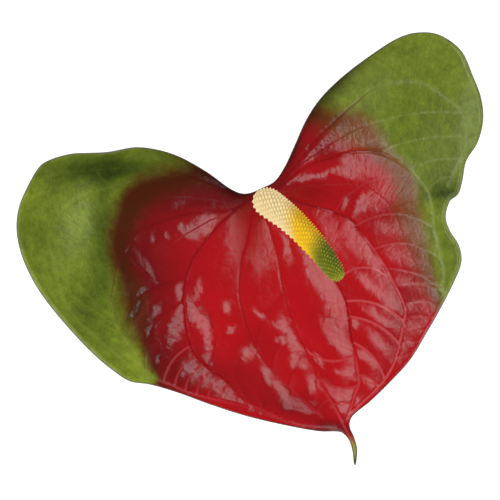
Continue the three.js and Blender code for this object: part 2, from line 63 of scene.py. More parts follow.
# The margin of the spathe, anticlockwise from the sinus: x, y and height
LEFT_LOBE_EDGE = (
    (-2.9, 0.5, 27), (-6.1, 0.4, 27), (-10, 2.1, 27), (-17.5, 7.5, 27.5), (-23.2, 11, 27.5),
    (-28.3, 13.6, 27), (-34.7, 15.8, 25.5), (-43.7, 17.1, 22), (-54.2, 15.5, 18), (-62.1, 15.2, 14.5),
    (-67.4, 15, 12), (-75.4, 12.9, 8), (-79.1, 10.7, 6), (-84.1, 2.6, 3), (-87.1, -4.8, 1.6),
    (-87.8, -12.7, 1), (-85.9, -21.8, 1.1), (-81, -32.2, 1.8), (-73.7, -42.3, 3.2), (-60, -57.1, 6.2),
    (-52.1, -63.6, 8.2), (-46.4, -67.1, 10),
)
BOTTOM_EDGE = (
    (-38.9, -68.3, 11.5), (-28.1, -71.5, 12), (-17.2, -75.5, 12), (-2.9, -80, 12), (11.6, -83.4, 10.5),
    (22.5, -85.3, 9.5), (30.4, -85.8, 8.6),
)
DRIP_TIP_EDGE = (
    (33.2, -88.6, 7.8), (34.6, -92.9, 6), (34.9, -95.4, 5), (35.3, -98, 4), (35.8, -95.5, 5),
    (35.9, -92, 6.3), (34.7, -87.6, 8.2), (33.3, -84.5, 9.7),
)
RIGHT_EDGE = (
    (33.1, -82.2, 10.6), (34.2, -79.8, 11.2), (40.7, -74.3, 12), (47.9, -67.3, 12), (55.1, -59.3, 12),
    (60.3, -50.9, 11), (66, -41.1, 9), (70.8, -32, 6.2), (73.9, -24.1, 4.5), (73, -18.3, 6.8),
    (69.4, -12.8, 12), (67.7, -7.8, 15), (69.4, -2, 11.8), (72.6, 0.7, 8.2), (74.2, 5.3, 5),
)
RIGHT_LOBE_EDGE = (
    (75.8, 12.8, 2.4), (79.9, 19.5, 1.3), (82, 27.8, 1), (81.2, 35.8, 1.4), (78.1, 43.7, 3.4),
    (73.5, 52.8, 7.5), (65.3, 58.2, 11), (57.6, 58.7, 15), (50.8, 56.6, 19.5), (39.8, 49.5, 26),
    (29, 41, 30), (22, 33.8, 31.5), (17.3, 26.6, 31.5), (12.9, 16.8, 30.5), (9.5, 9.6, 29.3),
    (5.9, 4.6, 28.2), (1.4, 2.3, 27.2),
)
EDGE = LEFT_LOBE_EDGE + BOTTOM_EDGE + DRIP_TIP_EDGE + RIGHT_EDGE + RIGHT_LOBE_EDGE
DRIP_TIP_TURN = (-92, -86)  # between these y the blade takes on the colour of its narrow drip tip

# Heights inside the margin, which set how the blade arches and cups
INNER_HEIGHTS = (
    (0, 0, JUNCTION_HEIGHT), (8, -23, 24), (15, -50, 20), (23, -68, 16.5), (31, -80, 12.6), (-13, -38, 25),
    (1, -41, 23.5), (-35, -38, 25), (-46, -18, 24.5), (-53, -38, 19), (-39, -57, 16.5), (24, -41, 24.5),
    (42, -41, 25), (52, -41, 21), (39, -14, 25), (29, 5, 28), (46, 5, 25), (58, -16, 19), (21, 21, 33),
    (34, 30, 31.5), (47, 36, 24), (60, 40, 14.5), (44, 45, 26), (71, 33, 6.5), (51, 23, 21.5),
    (64, 20, 12), (66, 4, 11.5), (-39, 4, 28), (-53, 3, 24.8), (-64, -1, 18), (-77, -11, 7.6),
    (-57, -15, 22.2), (-64, -13, 17.2), (-68, -34, 11), (-77, 2, 7), (-24, 4, 29), (-72, 7, 10.5),
    (15, 4, 28.5),
)

# The main veins, each from the junction outwards. tones gives how the line shows at shares of its length,
# from -1, a dark line, to 1, a pale one. On the red and the brown, the dark lines are partly painted shade
# in the grooves and the pale lines are partly painted highlight along them.
MAIN_VEINS = {
    "leftBorder": {
        "depths": ((0, 0.6), (0.3, 0.4), (0.45, 0.6), (0.6, 0.8), (1, 0.9)),
        "tones": ((0, -0.5), (0.3, -0.7), (0.4, -0.4), (0.47, 0.4), (0.66, 0.4), (0.8, 0.1), (1, 0.3)),
        "path": (
            (0, 0), (-5.4, -3.2), (-10.2, -5.6), (-17.9, -5.9), (-24.4, -6.6), (-35.2, -9.6),
            (-42.1, -13.1), (-46, -17.8), (-50, -23.9), (-52.3, -33.4), (-53.2, -39.5), (-52.2, -45.1),
            (-45.4, -56.4), (-41.1, -62.8), (-36.7, -66.5), (-31.1, -68.7), (-25, -71.5), (-13.7, -74.3),
            (-2.9, -76.9), (5.8, -80.5), (16.7, -83.8), (27.9, -84.6),
        ),
    },
    "leftOuter": {
        "depths": ((0, 0.5), (0.45, 0.6), (0.55, 1.1), (0.7, 1.1), (1, 0.8)),
        "tones": ((0, -0.6), (0.75, -0.7), (0.88, 0.2), (1, 0.2)),
        "path": (
            (0, 0), (-4.7, -2.9), (-13.3, -9.9), (-19.3, -17.1), (-22.2, -20.9), (-25, -26.9),
            (-26.8, -37.6), (-26.1, -44.3), (-25.2, -51), (-23, -56.7), (-18, -62.3), (-11.5, -66.6),
            (-4.7, -74.3), (1.5, -77.6), (8.7, -81.1),
        ),
    },
    "leftInner": {
        "depths": ((0, 0.5), (0.5, 0.4), (0.65, 0.9), (1, 0.8)),
        "tones": ((0, -0.3), (0.5, -0.45), (0.65, 0.0), (1, 0.2)),
        "path": (
            (0, 0), (-2.1, -7.2), (-4.2, -17.1), (-5.7, -21.6), (-6.5, -29.1), (-6.5, -36.7),
            (-4.9, -43.5), (-2.7, -50.4), (1.1, -58), (6.4, -64.1), (11, -68.7), (15.6, -73.3),
            (23.2, -80.3),
        ),
    },
    "midrib": {
        "depths": ((0, 0.5), (0.45, 0.6), (0.6, 1.1), (0.8, 1.1), (1, 0.8)),
        "tones": ((0, -0.2), (0.6, -0.25), (0.8, 0.4), (0.93, 0.6), (1, 0.2)),
        "path": (
            (0, 0), (3.6, -10.7), (6, -17.8), (7.2, -23.1), (8.6, -30.7), (10.9, -40.5), (15.4, -52),
            (20.2, -62), (24.1, -70.7), (28.1, -77.3), (31.2, -83.5), (33.3, -87.9), (34.9, -93.1),
        ),
    },
    "rightInner": {
        "depths": ((0, 0.8), (0.4, 1.2), (0.6, 1.9), (1, 1.7)),
        "tones": ((0, -0.4), (0.68, -0.7), (0.78, 0.6), (1, 0.6)),
        "path": (
            (0, 0), (11.5, -10.7), (20.5, -21.5), (28.7, -32), (31.9, -39.4), (33.1, -48.4), (34.9, -56.7),
            (35.8, -62.4), (36.5, -68.1), (35.4, -71), (34, -75.8), (32.6, -81.3),
        ),
    },
    "rightOuter": {
        "depths": ((0, 0.8), (0.4, 1.4), (0.6, 1.9), (1, 1.7)),
        "tones": ((0, -0.5), (0.3, -0.7), (0.4, 0.5), (0.6, 0.9), (1, 0.8)),
        "path": (
            (0, 0), (6.1, -0.9), (11.5, -1.8), (17.5, -3.4), (26.5, -5.8), (33, -8.8), (37.7, -14),
            (42.1, -20.4), (46.4, -26.9), (50.8, -35.5), (53.1, -41.2), (51.8, -50.3), (50.6, -56.4),
            (48, -63.4), (43.3, -69.9), (37.7, -75.1), (33.7, -79.5),
        ),
    },
    "rightBorder": {
        "depths": ((0, 1), (1, 1)),
        "tones": ((0, -0.2), (0.35, -0.5), (0.5, -0.3), (0.6, 0.8), (1, 1)),
        "path": (
            (0, 0), (3.6, 1.4), (7.4, 2.9), (15, 8.9), (24, 12.5), (33.7, 15.4), (38.4, 15.6),
            (43.2, 15.2), (50.1, 12.1), (57.2, 7.1), (61.5, 1.4), (62.8, -3.1), (64, -12.3), (67.5, -27.3),
            (67.1, -34.2),
        ),
    },
    "rightLobe": {
        "depths": ((0, 1.0), (1, 1.0)),
        "tones": ((0, -0.3), (0.25, -0.5), (0.32, -0.9), (0.42, -0.6), (0.5, 0.15), (1, 0.25)),
        "path": (
            (0, 0), (4.3, 1.8), (7.5, 3.9), (10.6, 7.1), (14.7, 12.1), (21.8, 20.5), (26.7, 25.3),
            (31.4, 29.9), (35.7, 33.4), (41, 37.6), (50.6, 40.5), (60.4, 40.2), (66.4, 37), (74.1, 30.8),
            (76.1, 25), (75.4, 16.7), (72, 9.4), (69.3, 3.5),
        ),
    },
    "leftLobe": {
        "depths": ((0, 0.6), (1, 0.6)),
        "tones": ((0, -0.1), (0.3, 0.1), (0.6, 0.2), (1, 0.3)),
        "path": (
            (0, 0), (-5.7, -0.7), (-19, 3.2), (-30.1, 6.4), (-42.3, 5.4), (-53.6, 2.7), (-60.6, 0.5),
            (-68.9, -4.1), (-74.4, -11), (-75.9, -17.9), (-73.7, -26.2), (-71.9, -33.1), (-67.9, -42.5),
            (-59.8, -50.5), (-51.5, -57.4), (-45.6, -62.4),
        ),
    },
    "leftFold": {
        "depths": ((0, 0.9), (1, 0.9)),
        "tones": ((0, -0.1), (1, 0.1)),
        "path": (
            (0, 0), (-5.4, -0.4), (-17.5, 4.6), (-30, 8.4), (-36.1, 9.4), (-42.3, 9.9), (-48.4, 9.8),
            (-57, 9.1), (-65, 8.6), (-71.7, 7.9), (-75.5, 7.1), (-80.3, 4.5),
        ),
    },
}

# The cross veins: the depth of their hollows, the vein they leave and the vein or margin they reach, and for
# each the shares of those two lengths, its bend, as the height of its bow over its length, and its tone
CROSS_VEINS = (
    (1.1, "leftBorder", "leftOuter", ((0.31, 0.38, -0.19, -0.2),)),
    (1.1, "leftOuter", "leftBorder", ((0.38, 0.49, -0.19, -0.4), (0.45, 0.58, -0.16, -0.4))),
    (1.1, "leftOuter", "leftOuter", ((0.46, 0.69, 0.29, -0.1),)),
    (1.1, "rightInner", "rightOuter", (
        (0.44, 0.55, 0.27, 0.7), (0.53, 0.66, 0.13, 0.9), (0.59, 0.73, 0.11, 0.9), (0.69, 0.85, 0.12, 0.8),
        (0.82, 0.88, 0.16, 0.5),
    )),
    (1.1, "rightOuter", "rightBorder", (
        (0.32, 0.79, 0.17, 0.4), (0.41, 0.9, 0.16, 0.4), (0.48, 0.99, 0.07, 0.3), (0.24, 0.61, 0.17, 0.15),
    )),
    (0.8, "leftInner", "leftOuter", (
        (0.58, 0.91, -0.26, -0.1), (0.71, 0.94, -0.18, 0), (0.82, 1, -0.14, 0),
    )),
    (0.8, "midrib", "leftInner", (
        (0.36, 0.62, -0.09, -0.1), (0.49, 0.73, -0.13, -0.1), (0.59, 0.82, -0.08, -0.1),
        (0.68, 0.89, -0.01, 0), (0.78, 0.97, -0.03, 0.1),
    )),
    (0.8, "midrib", "rightInner", (
        (0.46, 0.61, 0.02, 0), (0.58, 0.74, -0.18, 0.6), (0.7, 0.86, -0.13, 0.4), (0.81, 0.94, 0.16, 0.3),
    )),
    (0.8, "rightOuter", "margin", (
        (0.54, 0.623, 0.1, 0.3), (0.61, 0.612, 0.16, 0.2), (0.65, 0.604, 0.1, 0.2),
        (0.69, 0.594, 0.16, 0.2), (0.73, 0.586, 0.1, 0.2), (0.77, 0.578, 0.03, 0.2),
    )),
    (0.35, "rightBorder", "rightLobe", (
        (0.17, 0.77, 0.11, 0.15), (0.44, 0.84, 0.06, 0.18), (0.56, 0.91, 0.07, 0.15),
        (0.66, 0.97, 0.16, 0.15),
    )),
    (0.35, "rightBorder", "margin", ((0.82, 0.671, 0.14, 0.05), (0.91, 0.654, 0, 0.05))),
    (0.35, "leftLobe", "leftBorder", (
        (0.41, 0.34, -0.03, 0.08), (0.48, 0.38, -0.04, 0.08), (0.55, 0.42, 0.02, 0.08),
        (0.63, 0.45, -0.02, 0.08), (0.71, 0.47, -0.02, 0.08), (0.79, 0.5, 0.07, 0.08),
        (0.86, 0.52, 0.03, 0.08), (0.91, 0.55, 0.02, 0.08),
    )),
    (0.35, "leftLobe", "leftFold", ((0.22, 0.46, 0.16, 0.1), (0.36, 0.72, 0.16, 0.1))),
)

# Soft oval places between the veins where the waxed skin turns towards the lights on the right, or to those
# on the left: x, y, half length, half width, the direction of the length in degrees and the tilt in degrees.
# The two facings are the directions, in degrees, that the places tilt towards.
RIGHT_FACING = 8
LEFT_FACING = 205
RIGHT_FACETS = (
    (-19.1, -10.3, 5.9, 3.6, 45, 24.1), (-23.8, -13.6, 3.1, 2.2, 30, 20.8),
    (-32.4, -14.7, 1.6, 2.2, 90, 21.1), (-37.8, -15, 3.6, 1.6, 60, 17.8),
    (-27.4, -11.8, 1.8, 1.8, 90, 20.9), (-28.8, -3.5, 4.5, 1.8, 30, 14),
    (-16.6, -0.3, 10.8, 3.1, -20, 4.1), (-43.9, -20.8, 8.1, 3.1, -45, 11.1),
    (15.1, -75.5, 8.1, 2.7, -10, 15.6), (-51.1, -34.1, 9, 2.7, 88, 6.7),
    (-38.5, -27.6, 5.4, 1.2, -55, 22.6), (-41.4, -35.2, 3.6, 1.8, 50, 20.3),
    (-45, -42, 6.3, 1.8, 62, 19.3), (-39.6, -49.9, 5, 1.8, 80, 20.3), (-36.4, -40.9, 5, 1.8, 50, 20.1),
    (-36.4, -59.7, 2.2, 1.1, 60, 20.1), (-29.9, -48.1, 11.2, 3.6, 70, 25.7),
    (-28.1, -34.1, 3.6, 1.8, 85, 22.1), (-21.6, -44.2, 6.8, 3.6, -75, 23.6),
    (-18, -52.8, 8.1, 1.5, -87, 21.7), (-11.2, -40.2, 3.6, 2.2, 75, 23.2),
    (-10.1, -48.1, 3.1, 1.6, 30, 21.9), (-20.9, -32.3, 4, 1.8, 75, 17.1), (-7.9, -13.6, 9.5, 4, 80, 22.4),
    (-6.5, -4.6, 3.1, 1.4, 70, 18.9), (2.2, -12.1, 6.3, 3.4, 80, 23.2), (10.4, -19.3, 6.8, 1.8, -84, 20.5),
    (-0.4, -24, 4.5, 3.1, -60, 22.1), (3.6, -19.7, 5.9, 3.1, -76, 17.3),
    (11.5, -50.7, 8.1, 2.7, -71, 22.8), (0.4, -42.7, 4, 1.4, -45, 20.9), (-4, -56.8, 5, 2.7, 58, 23.4),
    (3.2, -64.3, 4.5, 1.8, -80, 23.1), (7.6, -69.4, 3.6, 1.8, -55, 20.6),
    (10.4, -73.3, 3.6, 1.5, -70, 21.7), (15.5, -76.9, 2.7, 1.8, -30, 16.8), (13, -60, 3.1, 1.8, 70, 19.2),
    (16.6, -61.1, 2.2, 1.4, 70, 16.7), (21.6, -58.6, 4, 1.8, -50, 20), (19.4, -68.3, 4.5, 2, -82, 22.5),
    (6.8, -46.3, 2.2, 1.6, 0, 16), (8.3, -52.1, 2.2, 1.4, 0, 17.1), (29.5, -64, 2.2, 1.4, -30, 16.2),
    (32.8, -64, 2.7, 1.8, 70, 18.4), (18, -22.6, 8.1, 2.7, -66, 18.4), (25.2, -32.7, 8.6, 5, -55, 22.8),
    (28.4, -41.3, 6.3, 3.1, -72, 15.6), (26.6, -49.2, 6.3, 3.1, -45, 15.1),
    (29.9, -53.5, 7.2, 3.1, -62, 22), (25.2, -69.7, 6.3, 2.2, -60, 14), (33.1, -72.6, 6.3, 3.6, -32, 20.7),
    (32, -76.6, 4, 2.7, 60, 20.8), (34.6, -46, 2.2, 1.8, -45, 18.3), (41, -32.7, 7.7, 2, -40, 21),
    (47.9, -39.1, 3.1, 2.7, -40, 18.9), (43.9, -44.2, 8.1, 1.8, -38, 20.8),
    (43.6, -53.2, 6.8, 2.2, -50, 20.3), (41, -59.7, 5, 2, -62, 20.4), (36.4, -57.5, 2.2, 1.8, -60, 17.1),
    (40.7, -67.2, 3.6, 2, -35, 20.4), (25.9, -13.2, 10.8, 3.6, -55, 15.2),
    (33.8, -16.1, 6.3, 2, -60, 16.6), (40.7, -22.6, 8.6, 1.8, -60, 19.8),
    (18.7, 14.5, 13.5, 2.7, 45, 22.5), (28.4, 20.6, 5.4, 2, 55, 15.1), (31, 16.7, 3.6, 1.8, 80, 15),
    (34.2, 21, 5.4, 2.2, 45, 13.1), (33.8, 31.1, 3.1, 1.4, 45, 11.3), (40.7, 22.8, 5.9, 3.1, 10, 11),
    (18.7, 6.6, 11.7, 1.3, 12, 21.3), (33.1, 11.3, 4, 1.8, -55, 20.7), (32, 7.3, 4, 1.8, -15, 19.6),
    (43.9, 9.8, 8.6, 3.6, -10, 16.2), (51.8, 5.9, 5.4, 4, -50, 15.3), (46.1, 0.5, 9, 3.6, 40, 17.2),
    (31.3, -2.8, 4, 1.2, 60, 19.6), (35.6, -3.5, 4.5, 1.1, 65, 19.4), (38.2, -2.8, 4.5, 1.4, 62, 20.5),
    (48.2, -11.8, 8.1, 2.5, -10, 16.6), (58, -13.6, 6.3, 3.6, -60, 14.4), (52.6, -22.2, 9, 2.7, -30, 16.4),
    (51.5, -30.9, 2.7, 1.8, -20, 16.4), (58.7, -33, 5.9, 2.2, -25, 12.6), (54, -40.6, 2.2, 1.8, 0, 15.2),
    (60.8, -39.9, 5.4, 2.7, -30, 12.5), (56.5, -47.1, 5.9, 1.8, -20, 16.2),
    (52.9, -54.3, 3.6, 1.8, 60, 15.2), (50.4, -59.3, 3.1, 1.4, 60, 14.1), (-25.9, -61.5, 6.8, 2.1, 66, 25),
    (-22.7, -64, 6.8, 2.1, 70, 24.8), (-18.7, -66.1, 6.3, 2, 70, 22.9), (-15.1, -68.7, 5.4, 1.8, 66, 24.5),
    (-13, -71.9, 4, 1.8, 75, 23.8), (-9.4, -73, 4, 2, 75, 23.7), (-5.8, -75.1, 3.6, 1.8, 75, 22.4),
    (-2.5, -76.9, 2.7, 1.8, 75, 22.2), (0.7, -78.4, 2.7, 1.4, 75, 19.7), (77, 28.2, 12.6, 3.6, 86, 13.6),
)
LEFT_FACETS = (
    (-64.8, -9.6, 14.4, 6.3, 78, 34.2),
)

# The ribs of the hem: cross veins from the lower part of the left outer vein to the left border vein
HEM_RIBS = 10
HEM_FROM = (0.6, 0.93)
HEM_TO = (0.628, 0.85)
HEM_DEPTH = 0.6
HEM_BOW = -0.12
HEM_TONE = (0.4, 0.05)

# Patches of the blade where its colour or gloss is another one, some of them painted shade and some painted
# light:
# x, y, half length, half width, the direction of the length in degrees and the strength
# Partly painted shade: the top strip of the left lobe and the inner margin of the right lobe are darkened
# where they turn away from the lights; the other patches are darker green tissue
DARK_GREEN_AND_SHADE_PATCHES = (
    (-55, 9.5, 27, 5.5, 2, 1), (-55.4, -13, 20, 5, 88, 0.75), (60, 25, 11, 8, 60, 0.1),
    (67, 2, 6, 5, 0, 0.45), (67, 0.6, 8, 1.8, 8, 0.5), (-60, -36, 14, 5, 60, 0.3),
    (24, 33, 16, 4, 55, 0.5), (-82, -14, 8, 16, 80, 0.3), (-58, -46, 12, 7, -60, 0.3),
)
# Partly painted light: the three patches on the left lobe, at its outer margin, along its fold and at its
# lower margin, are lightened where they face the lights; the two narrow ones on the right are paler tissue
# along the border vein
PALE_GREEN_AND_LIT_PATCHES = (
    (-44, -60, 7, 4, -38, 0.7), (-81, 2, 7, 3, 55, 0.4), (-66, 8.6, 16, 1.3, -5, 0.6),
    (65.5, -24, 9, 2.4, 98, 0.9), (61.5, -2, 6, 2.2, 100, 0.8),
)
# Partly painted shade: the strips along the margins near the sinus, on the left lobe and on the right lobe's
# inner margin, are darkened where they turn away from the lights; the other patches, and the fade from the
# brown border, are deeper red tissue
DEEP_RED_AND_SHADE_PATCHES = (
    (-24, 2.6, 22, 5, -12, 0.6), (26, 16, 8, 4, 45, 0.45), (16, 1, 13, 6, -5, 0.4),
    (22, 21, 12, 4, 50, 0.5), (27, -84, 7, 3, -10, 0.8), (37, 14, 16, 5, -5, 0.3),
    (-28, -21.5, 13, 13, 0, 0.35), (-8, -67, 25, 9, -20, 0.42), (14.4, -77.7, 13, 5, -15, 0.4),
    (1, -52, 10, 6, -60, 0.25), (54, -38, 22, 8, 78, 0.35), (44, -9, 8, 8, 0, 0.3),
)
# Painted shade: dark colour laid along parts of the margin, at the sinus, on the lobes' inner margins and by
# the drip tip, fading inwards where the rolled margin turns away from the lights
PAINTED_SHADE_PATCHES = (
    (14, 14, 14, 9, 60, 1), (30, 38, 16, 9, 48, 0.9), (-10, 2, 12, 6, -12, 1), (-28, 13, 14, 5, -12, 0.6),
    (24, -86, 12, 3, 5, 0.6),
)
LIGHT_BROWN_PATCHES = (
    (60, -16, 34, 15, 98, 1.2), (52, 8, 9, 9, 130, 1), (36, 22, 16, 9, 30, 1), (24, 30, 8, 5, 50, 0.3),
    (-43, -44, 16, 5, 75, 0.15),
)
MATT_PATCHES = (
    (52, -14, 24, 10, 100, 0.35), (46, 8, 14, 8, -30, 0.35), (-70, -12, 17, 9, 86, 0.4),
    (77, 28, 14, 6, 86, 0.6), (38, 36, 14, 9, 50, 0.8), (66, 15, 12, 8, 100, 0.5),
)

# Where the waxed skin lies level and so mirrors no light, in the same way
CALM_PATCHES = (
    (41, -41.3, 30, 11, -70, 0.8), (57.3, -30.5, 26, 9, 100, 0.85), (45.7, -1.7, 14, 9, -40, 0.5),
    (18.7, -37.7, 30, 9, -65, 0.6), (45.7, -68.3, 12, 8, 45, 0.6), (33.1, 25.3, 14, 8, 30, 0.6),
    (-8, -67, 26, 8, -20, 0.6), (-20, -2.6, 22, 5, -10, 0.9),
)

# Where the skin is crinkled, in the same way
CRINKLED_PATCHES = (
    (18.7, 14.9, 15, 5, 45, 1.4), (31.3, 19.9, 12, 8, 50, 0.9), (45.7, 0, 16, 10, 0, 0.6),
    (-30.9, -47.8, 14, 5, 70, 0.8), (-21.9, -10.7, 9, 5, 40, 0.7), (-31.7, -4.2, 10, 4, 10, 0.3),
    (-64.5, -9.6, 18, 9, 80, 1.1), (-42.5, -41.3, 12, 5, 65, 0.7), (55, -16, 16, 8, 98, 0.8),
    (-20, -47, 10, 5, -80, 0.5), (-18, -67, 14, 4, -25, 0.5),
)

# Where one colour of the blade gives way to the next: x, y and half the width of the change. Red lies on
# the left of each path as it is walked. The first and last points lie off the blade.
GREEN_TO_BROWN = (
    (-8, 50, 5), (-24.2, 12.3, 5), (-31.4, 10.6, 5), (-38.7, 8.2, 4.5), (-43.7, 6.1, 4), (-47.4, 3.3, 3.6),
    (-50.3, -1, 3.4), (-52, -6, 3.8), (-53.8, -11.8, 3.8), (-54.2, -17.9, 3.4), (-53.4, -24, 3),
    (-51.4, -29.8, 4.4), (-50.4, -37.7, 5), (-48.6, -45, 5), (-45.8, -50.4, 4.6), (-42.6, -56.4, 3.6),
    (-39.6, -62.7, 2.6), (-37, -66, 2), (-38, -69.7, 2), (-38, -90, 2),
)
BROWN_TO_RED = (
    (2, 50, 6), (-12.9, 4.9, 6), (-19, 2.8, 6), (-26.2, 1.1, 5.5), (-33.4, -1, 5), (-38.8, -4.3, 4.5),
    (-42.4, -8.9, 4), (-44.6, -14.3, 3.5), (-45.6, -19.7, 3.5), (-44.9, -25.1, 3.8), (-42.7, -29.8, 4),
    (-40.9, -35.9, 4.5), (-39.9, -41.3, 4.5), (-39.9, -48.5, 4), (-39.3, -54, 3.5), (-37.9, -59.4, 3),
    (-36.1, -63.8, 3), (-35.5, -69.7, 3), (-34, -90, 3),
)
RIGHT_GREEN_TO_BROWN = (
    (79.9, -73.7, 2), (67.7, -45.6, 2), (67, -39.5, 2), (65.9, -35.5, 2.2), (64.8, -30.5, 2.4),
    (62.8, -24.7, 2.8), (61.6, -19.3, 3.2), (60.6, -14.7, 3.4), (59.6, -9.3, 3.6), (58, -3.9, 3.6),
    (57.4, 1.2, 2.8), (56.2, 5.9, 2), (54, 9.8, 2.2), (51.1, 12.7, 3), (48.6, 15.2, 3.4),
    (46.1, 18.1, 3.8), (43.9, 22.1, 4), (41, 26.4, 4.2), (36.7, 29.3, 4.4), (31.3, 30.3, 4.4),
    (25.9, 31.1, 4.4), (20.2, 32.9, 4), (13.7, 36.5, 4), (-2.9, 48.7, 4),
)
RIGHT_BROWN_TO_RED = (
    (76.3, -77.3, 2), (66.5, -49, 2), (64.6, -42, 2.6), (62, -37, 3.4), (59.4, -31.2, 4), (57, -25.5, 4.5),
    (54.8, -20.1, 5), (52.4, -14.7, 5), (50.2, -9.3, 5), (49.2, -3.9, 5), (49, 1.2, 4.5), (48.4, 5.1, 4),
    (46.8, 8, 3.6), (44.8, 10.5, 3.2), (42.6, 12.3, 3), (40, 14.1, 3), (36.6, 15.9, 3.6),
    (32.8, 17.4, 4.4), (28.1, 19.8, 5), (24.1, 22.4, 5), (19.4, 24.4, 5), (15.1, 26, 5), (10.1, 28.7, 5),
    (-6.5, 40.9, 5),
)

# The axis of the spadix, its radius at distances along it, and the lattice of its florets
SPADIX_AXIS = (
    (1.2, -1, 27.6), (1.5, -1.2, 30.4), (3.6, -2.8, 35), (11.7, -9.2, 43), (21.2, -19.3, 52.6),
    (29.3, -30.6, 62.4),
)
SPADIX_PROFILE = (
    (0, 2.1), (2, 2.3), (4, 3.5), (6.5, 4.6), (10, 4.75), (20, 4.35), (30, 3.95), (38, 3.65), (46, 3.2),
    (50, 2.75), (52.6, 1.9), (54, 0.6),
)
SPADIX_FLORET_COLUMNS = 36
SPADIX_ROW_SPACING = 0.82
NECK_LENGTH = 3.2

# The stem's centreline: down from the junction, then along the surface under the blade
STEM_RADIUS = 3.25
STEM_PATH = (
    (3.4, -4.6, 24.5), (3.7, -5.4, 19), (5.6, -10.9, 9.4), (9.6, -22.1, STEM_RADIUS + 0.9),
    (13.8, -34, STEM_RADIUS), (20.5, -53, STEM_RADIUS), (26.2, -69.2, STEM_RADIUS),
)

Array = np.ndarray
Colour = tuple[int, int, int]
Material = bpy.types.Material
Piece = bpy.types.Object
Socket = bpy.types.NodeSocket
Tree = bpy.types.NodeTree


class Pattern(Enum):
    """The uses of smooth noise, each with the number that picks its pattern."""

    WAVER_X = 1.7
    WAVER_Y = 6.3
    WISPS = 4.9
    COARSE_PUCKERS = 3.1
    FINE_PUCKERS = 8.4
    RIBS = 5.5
    STEM_FLUSH = 2.0


def smoothstep(value: Array, low: float | Array, high: float | Array) -> Array:
    """Rises smoothly from 0 at low to 1 at high."""
    t = np.clip((value - low) / (high - low), 0, 1)
    return t * t * (3 - 2 * t)


def linear(colour: Colour, alpha: float = 1.0) -> tuple[float, float, float, float]:
    """Turns display values from 0 to 255 into scene-linear ones.

    Args:
        colour: red, green and blue as a display shows them.
        alpha: the fourth value of the result.

    Returns:
        The four values of a colour socket.
    """
    parts = [c / 255 for c in colour]
    return (*(c / 12.92 if c <= 0.04045 else ((c + 0.055) / 1.055) ** 2.4 for c in parts), alpha)


def noise_field(points: Array, wavelength: float, pattern: Pattern) -> Array:
    """Smooth noise from -1 to 1 at points.

    Args:
        points: x and y of each point.
        wavelength: the size of the noise's features.
        pattern: the pattern to read.

    Returns:
        One value a point.
    """
    scaled = points[:, :2] / wavelength
    return np.array([noise.noise((x, y, pattern.value)) for x, y in scaled.tolist()])


def travel_along(points: Array) -> Array:
    """The distance from the first point to each point, along the line through them all."""
    return np.concatenate([[0], np.cumsum(np.linalg.norm(np.diff(points, axis=0), axis=1))])


class Path:
    """A smooth line through points whose first values are x and y; any others are carried along."""

    def __init__(self, points: tuple, closed: bool = False, samples: int = 24, rising: bool = False) -> None:
        """Draws a centripetal curve through the points.

        Args:
            points: the points it passes through.
            closed: whether it returns to its start.
            samples: samples for each span between two points.
            rising: whether the third value is a height, which then counts in the line's length.
        """
        self.dense = self._smooth(np.array(points, float), closed, samples)
        self.travel = travel_along(self.dense[:, : 3 if rising else 2])

    @staticmethod
    def _smooth(points: Array, closed: bool, samples: int) -> Array:
        """Samples the curve.

        Args:
            points: the points it passes through.
            closed: whether it returns to its start.
            samples: samples for each span between two points.

        Returns:
            The sampled curve, its last row included.
        """
        count = len(points)
        rows = []
        for k in range(count if closed else count - 1):
            start, end = points[k], points[(k + 1) % count]
            before = points[k - 1] if closed or k else 2 * start - end
            after = points[(k + 2) % count] if closed or k + 2 < count else 2 * end - start
            gaps = [max(np.linalg.norm(b[:3] - a[:3]) ** 0.5, 1e-6)
                    for a, b in ((before, start), (start, end), (end, after))]
            own = (end - start) / gaps[1]
            leave = (start - before) / gaps[0] - (end - before) / (gaps[0] + gaps[1]) + own
            reach = own - (after - start) / (gaps[1] + gaps[2]) + (after - end) / gaps[2]
            leave, reach = leave * gaps[1], reach * gaps[1]
            t = np.linspace(0, 1, samples, endpoint=False)[:, None]
            rows.append(start + leave * t + (3 * (end - start) - 2 * leave - reach) * t**2
                        + (2 * (start - end) + leave + reach) * t**3)
        rows.append(points[:1] if closed else points[-1:])
        return np.concatenate(rows)

    @property
    def length(self) -> float:
        """The length of the line."""
        return float(self.travel[-1])

    def at(self, share: float | Array) -> Array:
        """Finds points along the line.

        Args:
            share: one share of the length, or several.

        Returns:
            The point there, or one row a share.
        """
        wanted = np.atleast_1d(share) * self.length
        found = np.stack([np.interp(wanted, self.travel, column) for column in self.dense.T], axis=1)
        return found if np.ndim(share) else found[0]

    def spaced(self, step: float) -> Array:
        """Points along the line, evenly spaced at about the step."""
        return self.at(np.linspace(0, 1, max(2, round(self.length / step)) + 1))


@dataclass
class Nearness:
    """How points lie to a polyline: distance, share of its length and the side, 1 on its left."""

    distance: Array
    share: Array
    side: Array


